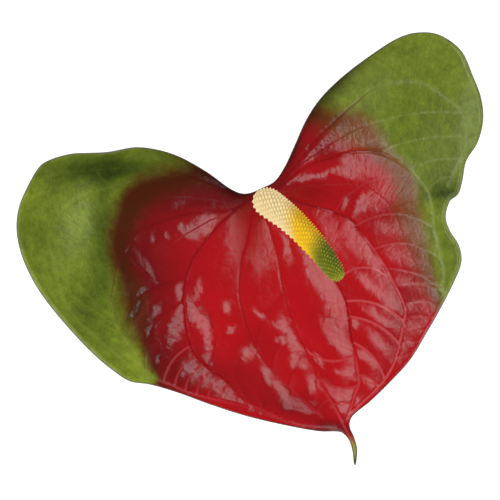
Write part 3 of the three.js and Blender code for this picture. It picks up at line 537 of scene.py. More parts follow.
def measure(points: Array, line: Array) -> Nearness:
    """Measures points against a polyline.

    Args:
        points: x and y of each point.
        line: the polyline's points in order.

    Returns:
        The distance, share and side of each point.
    """
    start, step = line[:-1, :2], np.diff(line[:, :2], axis=0)
    square = (step**2).sum(1) + 1e-12
    lengths = np.sqrt(square)
    before = np.concatenate([[0], np.cumsum(lengths)])
    distance, share, side = (np.empty(len(points)) for _ in range(3))
    for first in range(0, len(points), BATCH):
        span = slice(first, first + BATCH)
        part = points[span, None, :2] - start
        t = np.clip((part * step).sum(2) / square, 0, 1)
        away = part - t[..., None] * step
        squares = (away**2).sum(2)
        nearest = squares.argmin(1)
        rows = np.arange(len(nearest))
        distance[span] = np.sqrt(squares[rows, nearest])
        share[span] = (before[nearest] + t[rows, nearest] * lengths[nearest]) / before[-1]
        turn = step[nearest, 0] * part[rows, nearest, 1] - step[nearest, 1] * part[rows, nearest, 0]
        side[span] = np.where(turn >= 0, 1, -1)
    return Nearness(distance, share, side)


def patches(points: Array, rows: tuple) -> Array:
    """Adds up soft oval patches.

    Args:
        points: x and y of each point.
        rows: the x, y, half length, half width, direction in degrees and height of each patch.

    Returns:
        The sum of the patches at each point.
    """
    total = np.zeros(len(points))
    for x, y, half_length, half_width, degrees, height in rows:
        turn = math.radians(degrees)
        away = points[:, :2] - (x, y)
        along = (away[:, 0] * math.cos(turn) + away[:, 1] * math.sin(turn)) / half_length
        across = (away[:, 1] * math.cos(turn) - away[:, 0] * math.sin(turn)) / half_width
        total += height * np.exp(-(along**2) - across**2)
    return total


class Sheet:
    """The smoothest sheet through spots of known height: a thin plate bent to pass through them all."""

    def __init__(self, spots: tuple) -> None:
        """Solves for the plate's weights.

        Args:
            spots: x, y and height of each spot.
        """
        spots = np.array(spots, float)
        self.spots = spots[:, :2]
        count = len(spots)
        system = np.zeros((count + 3, count + 3))
        system[:count, :count] = self._bend(self.spots)
        system[:count, count] = system[count, :count] = 1
        system[:count, count + 1 :] = self.spots
        system[count + 1 :, :count] = self.spots.T
        self.weights = np.linalg.solve(system, np.concatenate([spots[:, 2], np.zeros(3)]))

    def _bend(self, points: Array) -> Array:
        """The plate's kernel between each point and each spot."""
        square = ((points[:, None, :] - self.spots) ** 2).sum(2)
        return 0.5 * square * np.log(np.maximum(square, 1e-12))

    def height(self, points: Array) -> Array:
        """The sheet's height at points.

        Args:
            points: x and y of each point.

        Returns:
            One height a point.
        """
        count = len(self.spots)
        parts = [points[first : first + BATCH, :2] for first in range(0, len(points), BATCH)]
        bends = np.concatenate([self._bend(part) @ self.weights[:count] for part in parts])
        return bends + self.weights[count] + points[:, :2] @ self.weights[count + 1 :]


class Rank(Enum):
    """The two sizes of vein, with the width of the hollow that each lies in."""

    MAIN = 5.0
    CROSS = 2.8


@dataclass
class Vein:
    """One vein: its line, its rank, its hollow's depth and its tone along it."""

    line: Array
    rank: Rank
    depths: tuple
    tones: tuple

    @property
    def length(self) -> float:
        """The length of the vein's line."""
        return float(travel_along(self.line[:, :2])[-1])

    def depth(self, share: Array) -> Array:
        """The depth of the vein's hollow at shares of its length."""
        return np.interp(share, [d[0] for d in self.depths], [d[1] for d in self.depths])

    def tone(self, share: Array) -> Array:
        """The vein's tone at shares of its length."""
        return np.interp(share, [t[0] for t in self.tones], [t[1] for t in self.tones])


@dataclass
class VeinMap:
    """What the veins do at points of the blade: depth, distances, tones and travel along the nearest."""

    hollow: Array
    main_distance: Array
    next_distance: Array
    cross_distance: Array
    main_tone: Array
    cross_tone: Array
    travel: Array
    edge: Array


@dataclass
class Facets:
    """Soft oval places of a surface, each turned to a wanted direction.

    groups gives the direction in degrees that each group of places tilts towards, and its rows.
    """

    groups: tuple[tuple[float, tuple], ...]
    limit: float = 0.45  # the most, in millimetres, that a place moves the surface
    fade: float = 0.75  # how fast the skin's turn fades away from a place's centre
    most: float = 0.96  # the largest share of the turn
    waver: float = 0.9  # how far, in millimetres, the rims of the places wander
    waver_size: float = 4.0
    fine_waver: float = 0.5  # a finer wander, as a share of that one
    fine_waver_size: float = 0.35
    break_up: float = 0.28  # how far the turn falls back along the wisps that break the places up
    break_size: float = 1.9
    break_level: float = 0.45  # the noise at which the turn has fallen back in full
    rim_share: float = 0.8  # where a place's rim points lie, as a share of its half sizes
    reach_share: float = 2.2  # how far a place reaches, as a share of its longer half

    def __post_init__(self) -> None:
        """Works out the directions, slopes and normals of the places."""
        table = np.array([(*row, facing) for facing, group in self.groups for row in group], float)
        self.centres = table[:, :2]
        self.sizes = table[:, 2:4]
        turns = np.radians(table[:, 4])
        self.along = np.stack([np.cos(turns), np.sin(turns)], axis=1)
        self.across = np.stack([-self.along[:, 1], self.along[:, 0]], axis=1)
        towards = np.radians(table[:, 6])
        tilts = np.radians(table[:, 5])
        level = np.stack([np.cos(towards), np.sin(towards)], axis=1)
        self.slopes = -np.tan(tilts)[:, None] * level
        self.normals = np.column_stack([np.sin(tilts)[:, None] * level, np.cos(tilts)])
        self.levels = np.zeros(len(table))

    def rims(self) -> Array:
        """Four points round each place, where its plane should meet the surface."""
        steps = self.rim_share * self.sizes[:, :, None] * np.stack([self.along, self.across], axis=1)
        return np.concatenate([self.centres + sign * steps[:, k] for sign in (-1, 1) for k in (0, 1)])

    def settle(self, heights: Array) -> None:
        """Takes the surface's heights at the rim points."""
        self.levels = heights.reshape(4, -1).mean(0)

    def _near(self, points: Array) -> Iterator[tuple[int, Array, Array, Array]]:
        """Finds the points near each place.

        Args:
            points: x and y of each point.

        Yields:
            The place's number, the points near it, their offsets and the squares of their distances, as
            shares of its size.
        """
        fine_size = self.fine_waver_size * self.waver_size
        waver = np.column_stack([
            noise_field(points, self.waver_size, pattern)
            + self.fine_waver * noise_field(points, fine_size, pattern)
            for pattern in (Pattern.WAVER_X, Pattern.WAVER_Y)])
        reach = self.reach_share * self.sizes.max(1)
        for number, centre in enumerate(self.centres):
            near = np.flatnonzero((np.abs(points[:, :2] - centre) < reach[number]).all(1))
            away = points[near, :2] - centre
            moved = away + self.waver * waver[near]
            square = ((moved @ self.along[number]) / self.sizes[number, 0]) ** 2
            square += ((moved @ self.across[number]) / self.sizes[number, 1]) ** 2
            yield number, near, away, square

    def press(self, points: Array, heights: Array) -> Array:
        """Presses the places a little way into a surface.

        Args:
            points: x and y of each point.
            heights: the surface's height there.

        Returns:
            What the places add to the height at each point.
        """
        total, weight = np.zeros(len(points)), np.zeros(len(points))
        for number, near, away, square in self._near(points):
            cover = np.exp(-(square**1.5))
            wanted = self.levels[number] + away @ self.slopes[number] - heights[near]
            total[near] += cover * self.limit * np.tanh(wanted / self.limit)
            weight[near] += cover
        return total / np.maximum(weight, 1)

    def lean(self, points: Array, calm: Array) -> tuple[Array, Array]:
        """The direction that the waxed skin turns to at points, and how far it turns there.

        Args:
            points: x and y of each point.
            calm: how level the skin lies at each point between the places.

        Returns:
            The direction, scaled by the share of the turn, and that share.
        """
        total, weight = np.zeros((len(points), 3)), np.zeros(len(points))
        broken = smoothstep(noise_field(points, self.break_size, Pattern.WISPS), 0, self.break_level)
        wisps = 1 - self.break_up * broken
        for number, near, _, square in self._near(points):
            cover = np.exp(-self.fade * square) * wisps[near]
            total[near] += cover[:, None] * self.normals[number]
            weight[near] += cover
        share = self.most / np.maximum(weight, 1)
        turned, hold = total * share[:, None], weight * share
        level = (1 - hold) * np.clip(calm, 0, self.most)
        turned[:, 2] += level
        return turned, hold + level


@dataclass
class BladeForm:
    """The blade's shape as a function of x and y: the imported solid's form, with finer veins and cells."""

    thickness: float = 0.8
    steepest_drop: float = 1.5
    edge_roll: float = 1.3
    edge_roll_width: float = 2.6
    furrow_start: float = 12.0
    groove_depth: float = 0.24
    groove_width: float = 0.45
    cross_groove_depth: float = 0.16
    cross_groove_width: float = 0.4
    coarse_size: float = 7.0
    coarse_height: float = 0.13
    fine_size: float = 3.0
    fine_height: float = 0.045
    rib_spacing: float = 2.2
    rib_length: float = 6.0
    rib_height: float = 0.07
    plain_crinkle: float = 0.22
    reach: float = 22.0
    cross_reach: float = 12.0
    vein_spacing: float = 1.0
    press_margin: float = 3.0  # the places press in full this far from the margin
    pucker_margin: float = 4.0
    pucker_start: float = 2.5  # the puckers are full this far from the veins
    crinkle_start: float = 1.2
    crinkle_middle: float = 3.0
    veins: list[Vein] = field(default_factory=list)

    def __post_init__(self) -> None:
        """Draws the margin and the veins and finds the sheet between them."""
        self.margin = Path(EDGE, closed=True, rising=True)
        self.curves = {"margin": self.margin}
        for name, vein in MAIN_VEINS.items():
            self.curves[name] = Path(vein["path"])
            line = self.curves[name].spaced(self.vein_spacing)
            self.veins.append(Vein(line, Rank.MAIN, vein["depths"], vein["tones"]))
        for depth, start, end, rows in CROSS_VEINS:
            for row in rows:
                self.veins.append(self._cross_vein(depth, start, end, *row))
        hem = zip(*(np.linspace(*ends, HEM_RIBS) for ends in (HEM_FROM, HEM_TO, HEM_TONE)))
        for share, share_there, tone in hem:
            rib = self._cross_vein(HEM_DEPTH, "leftOuter", "leftBorder", share, share_there, HEM_BOW, tone)
            self.veins.append(rib)
        self.sheet = Sheet(EDGE + INNER_HEIGHTS)
        self.facets: Facets | None = None
        self.outline = self.margin.spaced(self.vein_spacing)[:-1, :2]
        self.closed = np.concatenate([self.outline, self.outline[:1]])
        self.base = 0.0
        edge = self.height(self.outline, self.vein_map(self.outline), fine=False)
        self.base = float((edge - self.drop(self.outline)).min())
        facets = Facets(((RIGHT_FACING, RIGHT_FACETS), (LEFT_FACING, LEFT_FACETS)))
        rims = facets.rims()
        facets.settle(self.height(rims, self.vein_map(rims), fine=False))
        self.facets = facets

    def _cross_vein(self, depth: float, start: str, end: str, start_share: float, end_share: float,
                    bow: float, tone: float) -> Vein:
        """A cross vein as a bowed line between two others.

        Args:
            depth: the depth of its hollow.
            start: the vein it leaves.
            end: the vein or margin it reaches.
            start_share: the share of the first one's length.
            end_share: the share of the second one's length.
            bow: the height of its bow over its length.
            tone: how its line shows, from dark to pale.

        Returns:
            The vein.
        """
        a = self.curves[start].at(start_share)[:2]
        b = self.curves[end].at(end_share)[:2]
        middle = (a + b) / 2 + 2 * bow * np.array([a[1] - b[1], b[0] - a[0]])
        t = np.linspace(0, 1, max(4, round(np.hypot(*(b - a)) / self.vein_spacing)))[:, None]
        line = a * (1 - t) ** 2 + 2 * middle * t * (1 - t) + b * t**2
        return Vein(line, Rank.CROSS, ((0, depth), (1, depth)), ((0, tone), (1, tone)))

    def vein_map(self, points: Array) -> VeinMap:
        """Measures points against every vein.

        Args:
            points: x and y of each point.

        Returns:
            The depth of the hollows and the nearest veins' distances and tones.
        """
        far = np.full(len(points), FAR)
        edge = measure(points, self.closed).distance
        found = VeinMap(0 * far, far.copy(), far.copy(), far.copy(), 0 * far, 0 * far, 0 * far, edge)
        hollows = {rank: np.zeros(len(points)) for rank in Rank}
        for number, vein in enumerate(self.veins):
            reach = self.reach if vein.rank is Rank.MAIN else self.cross_reach
            low = vein.line[:, :2].min(0) - reach
            high = vein.line[:, :2].max(0) + reach
            near = np.flatnonzero(((points[:, :2] > low) & (points[:, :2] < high)).all(1))
            if not len(near):
                continue
            got = measure(points[near], vein.line)
            hollow = vein.depth(got.share) * np.exp(-got.distance / vein.rank.value)
            hollows[vein.rank][near] = np.maximum(hollows[vein.rank][near], hollow)
            main = vein.rank is Rank.MAIN
            distance = found.main_distance if main else found.cross_distance
            tone = found.main_tone if main else found.cross_tone
            closer = got.distance < distance[near]
            if main:
                second = np.maximum(distance[near], got.distance)
                found.next_distance[near] = np.minimum(found.next_distance[near], second)
                found.travel[near[closer]] = got.share[closer] * vein.length + VEIN_APART * number
            distance[near[closer]] = got.distance[closer]
            tone[near[closer]] = vein.tone(got.share[closer])
        found.hollow = hollows[Rank.MAIN] + hollows[Rank.CROSS]
        return found

    def height(self, points: Array, veins: VeinMap, fine: bool) -> Array:
        """The height of the blade's upper face.

        Args:
            points: x and y of each point.
            veins: the vein map at those points.
            fine: whether the sharp grooves and the puckers are cut too.

        Returns:
            One height a point.
        """
        start = smoothstep(np.hypot(points[:, 0], points[:, 1]), 0, self.furrow_start)
        edge = veins.edge
        roll = self.edge_roll * np.exp(-edge / self.edge_roll_width)
        level = self.sheet.height(points) - start * (veins.hollow + roll) - self.base
        if self.facets is not None:
            level = level + smoothstep(edge, 0, self.press_margin) * self.facets.press(points, level)
        if not fine:
            return level
        main = self.groove_depth * np.exp(-((veins.main_distance / self.groove_width) ** 2))
        cross = self.cross_groove_depth * np.exp(-((veins.cross_distance / self.cross_groove_width) ** 2))
        return level - start * np.maximum(main, cross) + self.puckers(points, veins)

    def puckers(self, points: Array, veins: VeinMap) -> Array:
        """The small swellings between the veins.

        Args:
            points: x and y of each point.
            veins: the vein map at those points.

        Returns:
            The height that they add at each point.
        """
        free = smoothstep(np.minimum(veins.main_distance, veins.cross_distance), 0, self.pucker_start)
        free = free * smoothstep(veins.edge, 0, self.pucker_margin)
        coarse = noise_field(points, self.coarse_size, Pattern.COARSE_PUCKERS)
        fine = noise_field(points, self.fine_size, Pattern.FINE_PUCKERS)
        ribbing = np.column_stack([veins.travel / self.rib_spacing, veins.main_distance / self.rib_length])
        ribs = noise_field(ribbing, 1.0, Pattern.RIBS) * self.crinkle(points, veins)
        return free * (self.coarse_height * coarse + self.fine_height * fine) + self.rib_height * ribs

    def crinkle(self, points: Array, veins: VeinMap) -> Array:
        """How crinkled the skin is: not on the veins or the margin, nor halfway between veins.

        Args:
            points: x and y of each point.
            veins: the vein map at those points.

        Returns:
            One value a point.
        """
        between = smoothstep(veins.next_distance - veins.main_distance, 0, self.crinkle_middle)
        free = smoothstep(veins.main_distance, 0, self.crinkle_start)
        free = free * smoothstep(veins.edge, 0, self.pucker_margin)
        return free * (self.plain_crinkle * between + patches(points, CRINKLED_PATCHES))

    def drop(self, points: Array) -> Array:
        """How far straight down the lower face lies, so that the blade keeps its thickness where it slopes.

        Args:
            points: x and y of each point.

        Returns:
            One distance a point.
        """
        slope = [(self.sheet.height(points + step) - self.sheet.height(points - step)) / 2
                 for step in (np.array([1.0, 0.0]), np.array([0.0, 1.0]))]
        return self.thickness * np.minimum(self.steepest_drop, np.sqrt(1 + slope[0] ** 2 + slope[1] ** 2))


def find_shift(form: BladeForm) -> Vector:
    """Finds where the junction stands in the frame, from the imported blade's own box.

    Args:
        form: the blade's form.

    Returns:
        The junction's place on the surface, in metres.
    """
    low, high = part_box("spathe")
    middle = (form.outline.min(0) + form.outline.max(0)) / 2 * MM
    return Vector(((low.x + high.x) / 2 - middle[0], (low.y + high.y) / 2 - middle[1], 0))


def new_mesh(name: str, points: Array, faces: list[tuple[int, ...]], shift: Vector) -> Piece:
    """Makes a smooth-shaded object.

    Args:
        name: the piece's name.
        points: vertices in millimetres from the junction.
        faces: the corners of each face, anticlockwise from outside.
        shift: where the junction stands.

    Returns:
        The object, linked to the scene.
    """
    mesh = bpy.data.meshes.new(name)
    mesh.from_pydata((points * MM + np.array(shift)).tolist(), [], faces)
    mesh.update()
    mesh.polygons.foreach_set("use_smooth", [True] * len(mesh.polygons))
    piece = bpy.data.objects.new(name, mesh)
    bpy.context.scene.collection.objects.link(piece)
    return piece


def store(piece: Piece, name: str, values: Array) -> None:
    """Stores a number or a direction for each vertex, which a material reads by its name.

    Args:
        piece: the object.
        name: the name of the values.
        values: one value, or one row, for each vertex; vertices past the last one get 0.
    """
    wide = values.ndim == 2
    full = np.zeros((len(piece.data.vertices), *values.shape[1:]), np.float32)
    full[: len(values)] = values
    layer = piece.data.attributes.new(name, "FLOAT_VECTOR" if wide else "FLOAT", "POINT")
    layer.data.foreach_set("vector" if wide else "value", full.ravel())


class NodeDesk:
    """Adds shader nodes to one tree and joins them."""

    def __init__(self, tree: Tree) -> None:
        """Takes the tree to work in."""
        self.tree = tree

    def add(self, kind: str, inputs: dict | None = None, **settings: object) -> bpy.types.Node:
        """Adds a node.

        Args:
            kind: the node's type name after ShaderNode, or a full type name for a group's ends.
            inputs: values or sockets for its inputs, by name or number.
            settings: the node's own properties.

        Returns:
            The node.
        """
        node = self.tree.nodes.new(kind if kind.startswith("Node") else f"ShaderNode{kind}")
        for key, value in settings.items():
            setattr(node, key, value)
        for key, value in (inputs or {}).items():
            self.put(value, node.inputs[key])
        return node

    def put(self, value: object, socket: Socket) -> None:
        """Sets a socket to a plain value, or joins it to another socket.

        Args:
            value: the plain value or the socket that gives it.
            socket: the input to feed.
        """
        if isinstance(value, Socket):
            self.tree.links.new(value, socket)
        else:
            socket.default_value = value

    def mask(self, name: str) -> Socket:
        """A number stored on the mesh."""
        return self.add("Attribute", attribute_name=name).outputs["Fac"]

    def math(self, operation: str, a: object, b: object = 0.0, clamp: bool = False) -> Socket:
        """One sum of two values."""
        node = self.add("Math", {0: a, 1: b}, operation=operation, use_clamp=clamp)
        return node.outputs[0]

    def mix(self, share: object, a: object, b: object, blend: str = "MIX") -> Socket:
        """Two colours mixed by a share.

        Args:
            share: how much of the second colour there is, from 0 to 1.
            a: the first colour.
            b: the second colour.
            blend: how they are mixed.

        Returns:
            The socket that gives the mix.
        """
        node = self.add("Mix", data_type="RGBA", blend_type=blend, clamp_factor=True)
        for number, value in ((0, share), (6, a), (7, b)):
            self.put(value, node.inputs[number])
        return node.outputs[2]

    def between(self, value: object, low: float, high: float, to_low: float = 0.0,
                to_high: float = 1.0) -> Socket:
        """A value moved from one range to another, held at its ends and smooth between.

        Args:
            value: the value or the socket that gives it.
            low: the value that gives to_low.
            high: the value that gives to_high.
            to_low: the low end of the new range.
            to_high: the high end of the new range.

        Returns:
            The socket that gives the moved value.
        """
        node = self.add("MapRange", {0: value, 1: low, 2: high, 3: to_low, 4: to_high},
                        interpolation_type="SMOOTHSTEP", clamp=True)
        return node.outputs[0]

    def group(self, tree: Tree, **inputs: object) -> bpy.types.Node:
        """Places a group with its own values.

        Args:
            tree: the group.
            inputs: values or sockets for its inputs, by their names in small letters.

        Returns:
            The group's node.
        """
        node = self.add("Group", node_tree=tree)
        for key, value in inputs.items():
            self.put(value, node.inputs[key.replace("_", " ").title()])
        return node


def new_group(name: str, inputs: dict[str, tuple[str, object]], outputs: dict[str, str]) -> tuple:
    """Starts a shader node group.

    Args:
        name: the group's name.
        inputs: the kind of socket and the value at the start, by name.
        outputs: the kind of socket, by name.

    Returns:
        The group's tree, a desk for it, its input node and its output node.
    """
    tree = bpy.data.node_groups.new(name, "ShaderNodeTree")
    for key, (kind, value) in inputs.items():
        tree.interface.new_socket(key, in_out="INPUT", socket_type=kind).default_value = value
    for key, kind in outputs.items():
        tree.interface.new_socket(key, in_out="OUTPUT", socket_type=kind)
    desk = NodeDesk(tree)
    return tree, desk, desk.add("NodeGroupInput"), desk.add("NodeGroupOutput")


class TissueEffects:
    """The effects that the flower's materials share, each a node group built once."""

    def __init__(self) -> None:
        """Builds the groups."""
        self.mottle = self._mottle()
        self.relief = self._relief()
        self.line = self._line()

    @staticmethod
    def _mottle() -> Tree:
        """Soft blotches that darken and lighten a colour.

        Returns:
            The group.
        """
        tree, desk, start, end = new_group(
            "Tissue mottle",
            {"Color": ("NodeSocketColor", (0.5, 0.5, 0.5, 1)), "Scale": ("NodeSocketFloat", 100.0),
             "Amount": ("NodeSocketFloat", 0.2)},
            {"Color": "NodeSocketColor", "Value": "NodeSocketFloat"})
        place = desk.add("TexCoord").outputs["Object"]
        blotch = desk.add("TexNoise", {"Vector": place, "Scale": start.outputs["Scale"], "Detail": 4.0,
                                       "Roughness": 0.6})
        centred = desk.math("SUBTRACT", blotch.outputs["Fac"], 0.5)
        swing = desk.math("MULTIPLY", centred, start.outputs["Amount"])
        gain = desk.math("ADD", desk.math("MULTIPLY", swing, 4.0), 1.0)
        scaled = desk.add("VectorMath", {0: start.outputs["Color"], 1: gain}, operation="MULTIPLY")
        desk.put(scaled.outputs[0], end.inputs["Color"])
        desk.put(centred, end.inputs["Value"])
        return tree

    @staticmethod
    def _relief() -> Tree:
        """The fine grain and the net of smallest veins, as a height.

        Returns:
            The group.
        """
        tree, desk, start, end = new_group(
            "Tissue relief",
            {"Grain Scale": ("NodeSocketFloat", 1500.0), "Net Scale": ("NodeSocketFloat", 300.0),
             "Grain": ("NodeSocketFloat", 0.3), "Net": ("NodeSocketFloat", 0.7)},
            {"Height": "NodeSocketFloat"})
        place = desk.add("TexCoord").outputs["Object"]
        grain = desk.add("TexNoise", {"Vector": place, "Scale": start.outputs["Grain Scale"], "Detail": 3.0})
        cells = desk.add("TexVoronoi", {"Vector": place, "Scale": start.outputs["Net Scale"]},
                         feature="DISTANCE_TO_EDGE")
        net = desk.between(cells.outputs["Distance"], 0.0, 0.25)
        height = desk.math("ADD", desk.math("MULTIPLY", grain.outputs["Fac"], start.outputs["Grain"]),
                           desk.math("MULTIPLY", net, start.outputs["Net"]))
        desk.put(height, end.inputs["Height"])
        return tree

    @staticmethod
    def _line() -> Tree:
        """A line drawn where a stored distance is small.

        Returns:
            The group.
        """
        tree, desk, start, end = new_group(
            "Drawn line",
            {"Distance": ("NodeSocketFloat", 1.0), "Width": ("NodeSocketFloat", 0.3),
             "Softness": ("NodeSocketFloat", 0.3)},
            {"Mask": "NodeSocketFloat"})
        past = desk.math("SUBTRACT", start.outputs["Distance"], start.outputs["Width"])
        share = desk.math("DIVIDE", past, start.outputs["Softness"], clamp=True)
        desk.put(desk.math("SUBTRACT", 1.0, share), end.inputs["Mask"])
        return tree


@dataclass(frozen=True)
class SpatheFinish:
    """The colours and gloss of the spathe's face and back, with painted shade and painted light in places on
    the face.
    """

    red: Colour = (183, 5, 18)
    deep_red_and_shade: Colour = (116, 12, 16)
    green: Colour = (120, 137, 34)
    dark_green_and_shade: Colour = (58, 74, 14)
    pale_green_and_lit: Colour = (136, 152, 40)
    brown: Colour = (76, 30, 8)
    light_brown: Colour = (128, 70, 26)
    dark_vein_and_shade: Colour = (104, 8, 16)
    pale_vein_and_highlight: Colour = (206, 82, 86)
    pale_brown_vein_and_highlight: Colour = (126, 92, 54)
    pale_green_vein: Colour = (142, 156, 62)
    edge: Colour = (52, 30, 24)
    painted_shade: Colour = (44, 14, 12)
    tip: Colour = (150, 150, 70)
    back: Colour = (128, 142, 66)
    back_red: Colour = (150, 58, 50)
    pale_strength: float = 0.9
    edge_strength: float = 0.85
    roughness: float = 0.23
    matt_roughness: float = 0.42
    grain: float = 0.3
    back_roughness: float = 0.5
    back_vein_strength: float = 0.6

    def face(self, effects: TissueEffects) -> Material:
        """The waxed face: red in the middle, green on the lobes, with drawn veins and painted shade along
        parts of the margin.

        Args:
            effects: the shared node groups.

        Returns:
            The material.
        """
        material, desk, shader = new_material("spathe face")
        wander = desk.group(effects.mottle, scale=420.0).outputs["Value"]
        redness = desk.math("ADD", desk.mask("red"),
                            desk.math("MULTIPLY", wander, desk.mask("red wander")), True)
        greenness = desk.math("SUBTRACT", desk.mask("green"),
                              desk.math("MULTIPLY", wander, desk.mask("green wander")), True)
        zones = (redness, greenness)
        colour = self._with_veins(desk, effects, self._tissue(desk, effects, zones), zones)
        colour = desk.mix(desk.mask("tip"), colour, linear(self.tip))
        # painted shade along parts of the margin
        colour = desk.mix(desk.mask("painted_shade"), colour, linear(self.painted_shade))
        rim = desk.group(effects.line, distance=desk.mask("edge"), width=0.05, softness=0.35).outputs["Mask"]
        colour = desk.mix(desk.math("MULTIPLY", rim, self.edge_strength), colour, linear(self.edge))
        desk.put(colour, shader.inputs["Base Color"])
        rough = desk.between(desk.mask("matt"), 0.0, 1.0, self.roughness, self.matt_roughness)
        desk.put(rough, shader.inputs["Roughness"])
        desk.put(self._skin(desk, effects), shader.inputs["Normal"])
        return material

    def _tissue(self, desk: NodeDesk, effects: TissueEffects, zones: tuple[Socket, Socket]) -> Socket:
        """The colour of the tissue between the veins.

        Args:
            desk: the desk of the material.
            effects: the shared node groups.
            zones: where the blade is red and no longer brown, and where it is green.

        Returns:
            The socket that gives the colour.
        """
        # paler green tissue, with painted light in places
        green = desk.mix(desk.mask("pale"), linear(self.green), linear(self.pale_green_and_lit))
        # darker green tissue, and painted shade in places
        green = desk.mix(desk.mask("shade"), green, linear(self.dark_green_and_shade))
        green = desk.group(effects.mottle, color=green, scale=230.0, amount=0.26).outputs["Color"]
        green = desk.group(effects.mottle, color=green, scale=900.0, amount=0.18).outputs["Color"]
        # deeper red tissue, with painted shade in places
        red = desk.mix(desk.mask("deep red and shade"), linear(self.red), linear(self.deep_red_and_shade))
        red = desk.group(effects.mottle, color=red, scale=120.0, amount=0.06).outputs["Color"]
        brown = desk.mix(desk.mask("light brown"), linear(self.brown), linear(self.light_brown))
        return desk.mix(zones[1], desk.mix(zones[0], brown, red), green)

    def _with_veins(self, desk: NodeDesk, effects: TissueEffects, colour: Socket,
                    zones: tuple[Socket, Socket]) -> Socket:
        """Draws the veins over a colour: dark where their tone is below 0, pale where it is above; on the
        red and the brown these lines are partly painted shade and painted highlight.

        Args:
            desk: the desk of the material.
            effects: the shared node groups.
            colour: the colour to draw on.
            zones: where the blade is red and no longer brown, and where it is green.

        Returns:
            The socket that gives the colour.
        """
        distance = desk.math("MINIMUM", desk.mask("vein"), desk.mask("cross"))
        line = desk.group(effects.line, distance=distance, width=0.08, softness=0.3).outputs["Mask"]
        soft_line = desk.group(effects.line, distance=distance, width=0.05, softness=0.6).outputs["Mask"]
        tone = desk.mask("tone")
        dark = desk.math("MULTIPLY", line, desk.math("MULTIPLY", tone, -1.0, True))
        pale = desk.math("MULTIPLY", soft_line, desk.math("MULTIPLY", tone, self.pale_strength, True))
        # on the red and the brown the pale lines are partly painted highlight along the veins
        pale_colour = desk.mix(zones[0], linear(self.pale_brown_vein_and_highlight), linear(self.pale_vein_and_highlight))
        pale_colour = desk.mix(zones[1], pale_colour, linear(self.pale_green_vein))
        return desk.mix(pale, desk.mix(dark, colour, linear(self.dark_vein_and_shade)), pale_colour)

    def _skin(self, desk: NodeDesk, effects: TissueEffects) -> Socket:
        """The way that the waxed skin faces: the surface's own, or the stored lean, with folds and grain.

        Args:
            desk: the desk of the material.
            effects: the shared node groups.

        Returns:
            The socket that gives the normal.
        """
        relief = desk.group(effects.relief, grain_scale=2600.0, net_scale=260.0, grain=0.9, net=0.5)
        flow = desk.add("Attribute", attribute_name="flow").outputs["Vector"]
        folds = desk.add("TexNoise", {"Vector": flow, "Scale": 1.0, "Detail": 2.0})
        wrinkles = desk.math("MULTIPLY", folds.outputs["Fac"], desk.mask("crinkle"))
        ground = desk.math("MULTIPLY", relief.outputs["Height"], self.grain)
        own = desk.add("NewGeometry").outputs["Normal"]
        free = desk.math("SUBTRACT", 1.0, desk.mask("hold"))
        kept = desk.add("VectorMath", {0: own, 1: free}, operation="MULTIPLY").outputs[0]
        lean = desk.add("Attribute", attribute_name="lean").outputs["Vector"]
        turned = desk.add("VectorMath", {0: kept, 1: lean}, operation="ADD").outputs[0]
        normal = desk.add("VectorMath", {0: turned}, operation="NORMALIZE").outputs[0]
        bump = desk.add("Bump", {"Height": desk.math("ADD", wrinkles, ground), "Strength": 0.8,
                                 "Distance": 0.0003, "Normal": normal})
        return bump.outputs[0]

    def back_face(self, effects: TissueEffects) -> Material:
        """The paler, duller back with its raised veins.

        Args:
            effects: the shared node groups.

        Returns:
            The material.
        """
        material, desk, shader = new_material("spathe back")
        colour = desk.mix(desk.mask("red"), linear(self.back), linear(self.back_red))
        colour = desk.group(effects.mottle, color=colour, scale=200.0, amount=0.12).outputs["Color"]
        line = desk.group(effects.line, distance=desk.mask("vein"), width=0.3, softness=0.8).outputs["Mask"]
        veined = desk.math("MULTIPLY", line, self.back_vein_strength)
        colour = desk.mix(veined, colour, linear(self.pale_green_vein))
        desk.put(colour, shader.inputs["Base Color"])
        shader.inputs["Roughness"].default_value = self.back_roughness
        relief = desk.group(effects.relief, grain_scale=1200.0, net_scale=320.0, grain=0.4, net=0.6)
        bump = desk.add("Bump", {"Height": relief.outputs["Height"], "Strength": 0.3, "Distance": 0.0003})
        desk.put(bump.outputs[0], shader.inputs["Normal"])
        return material


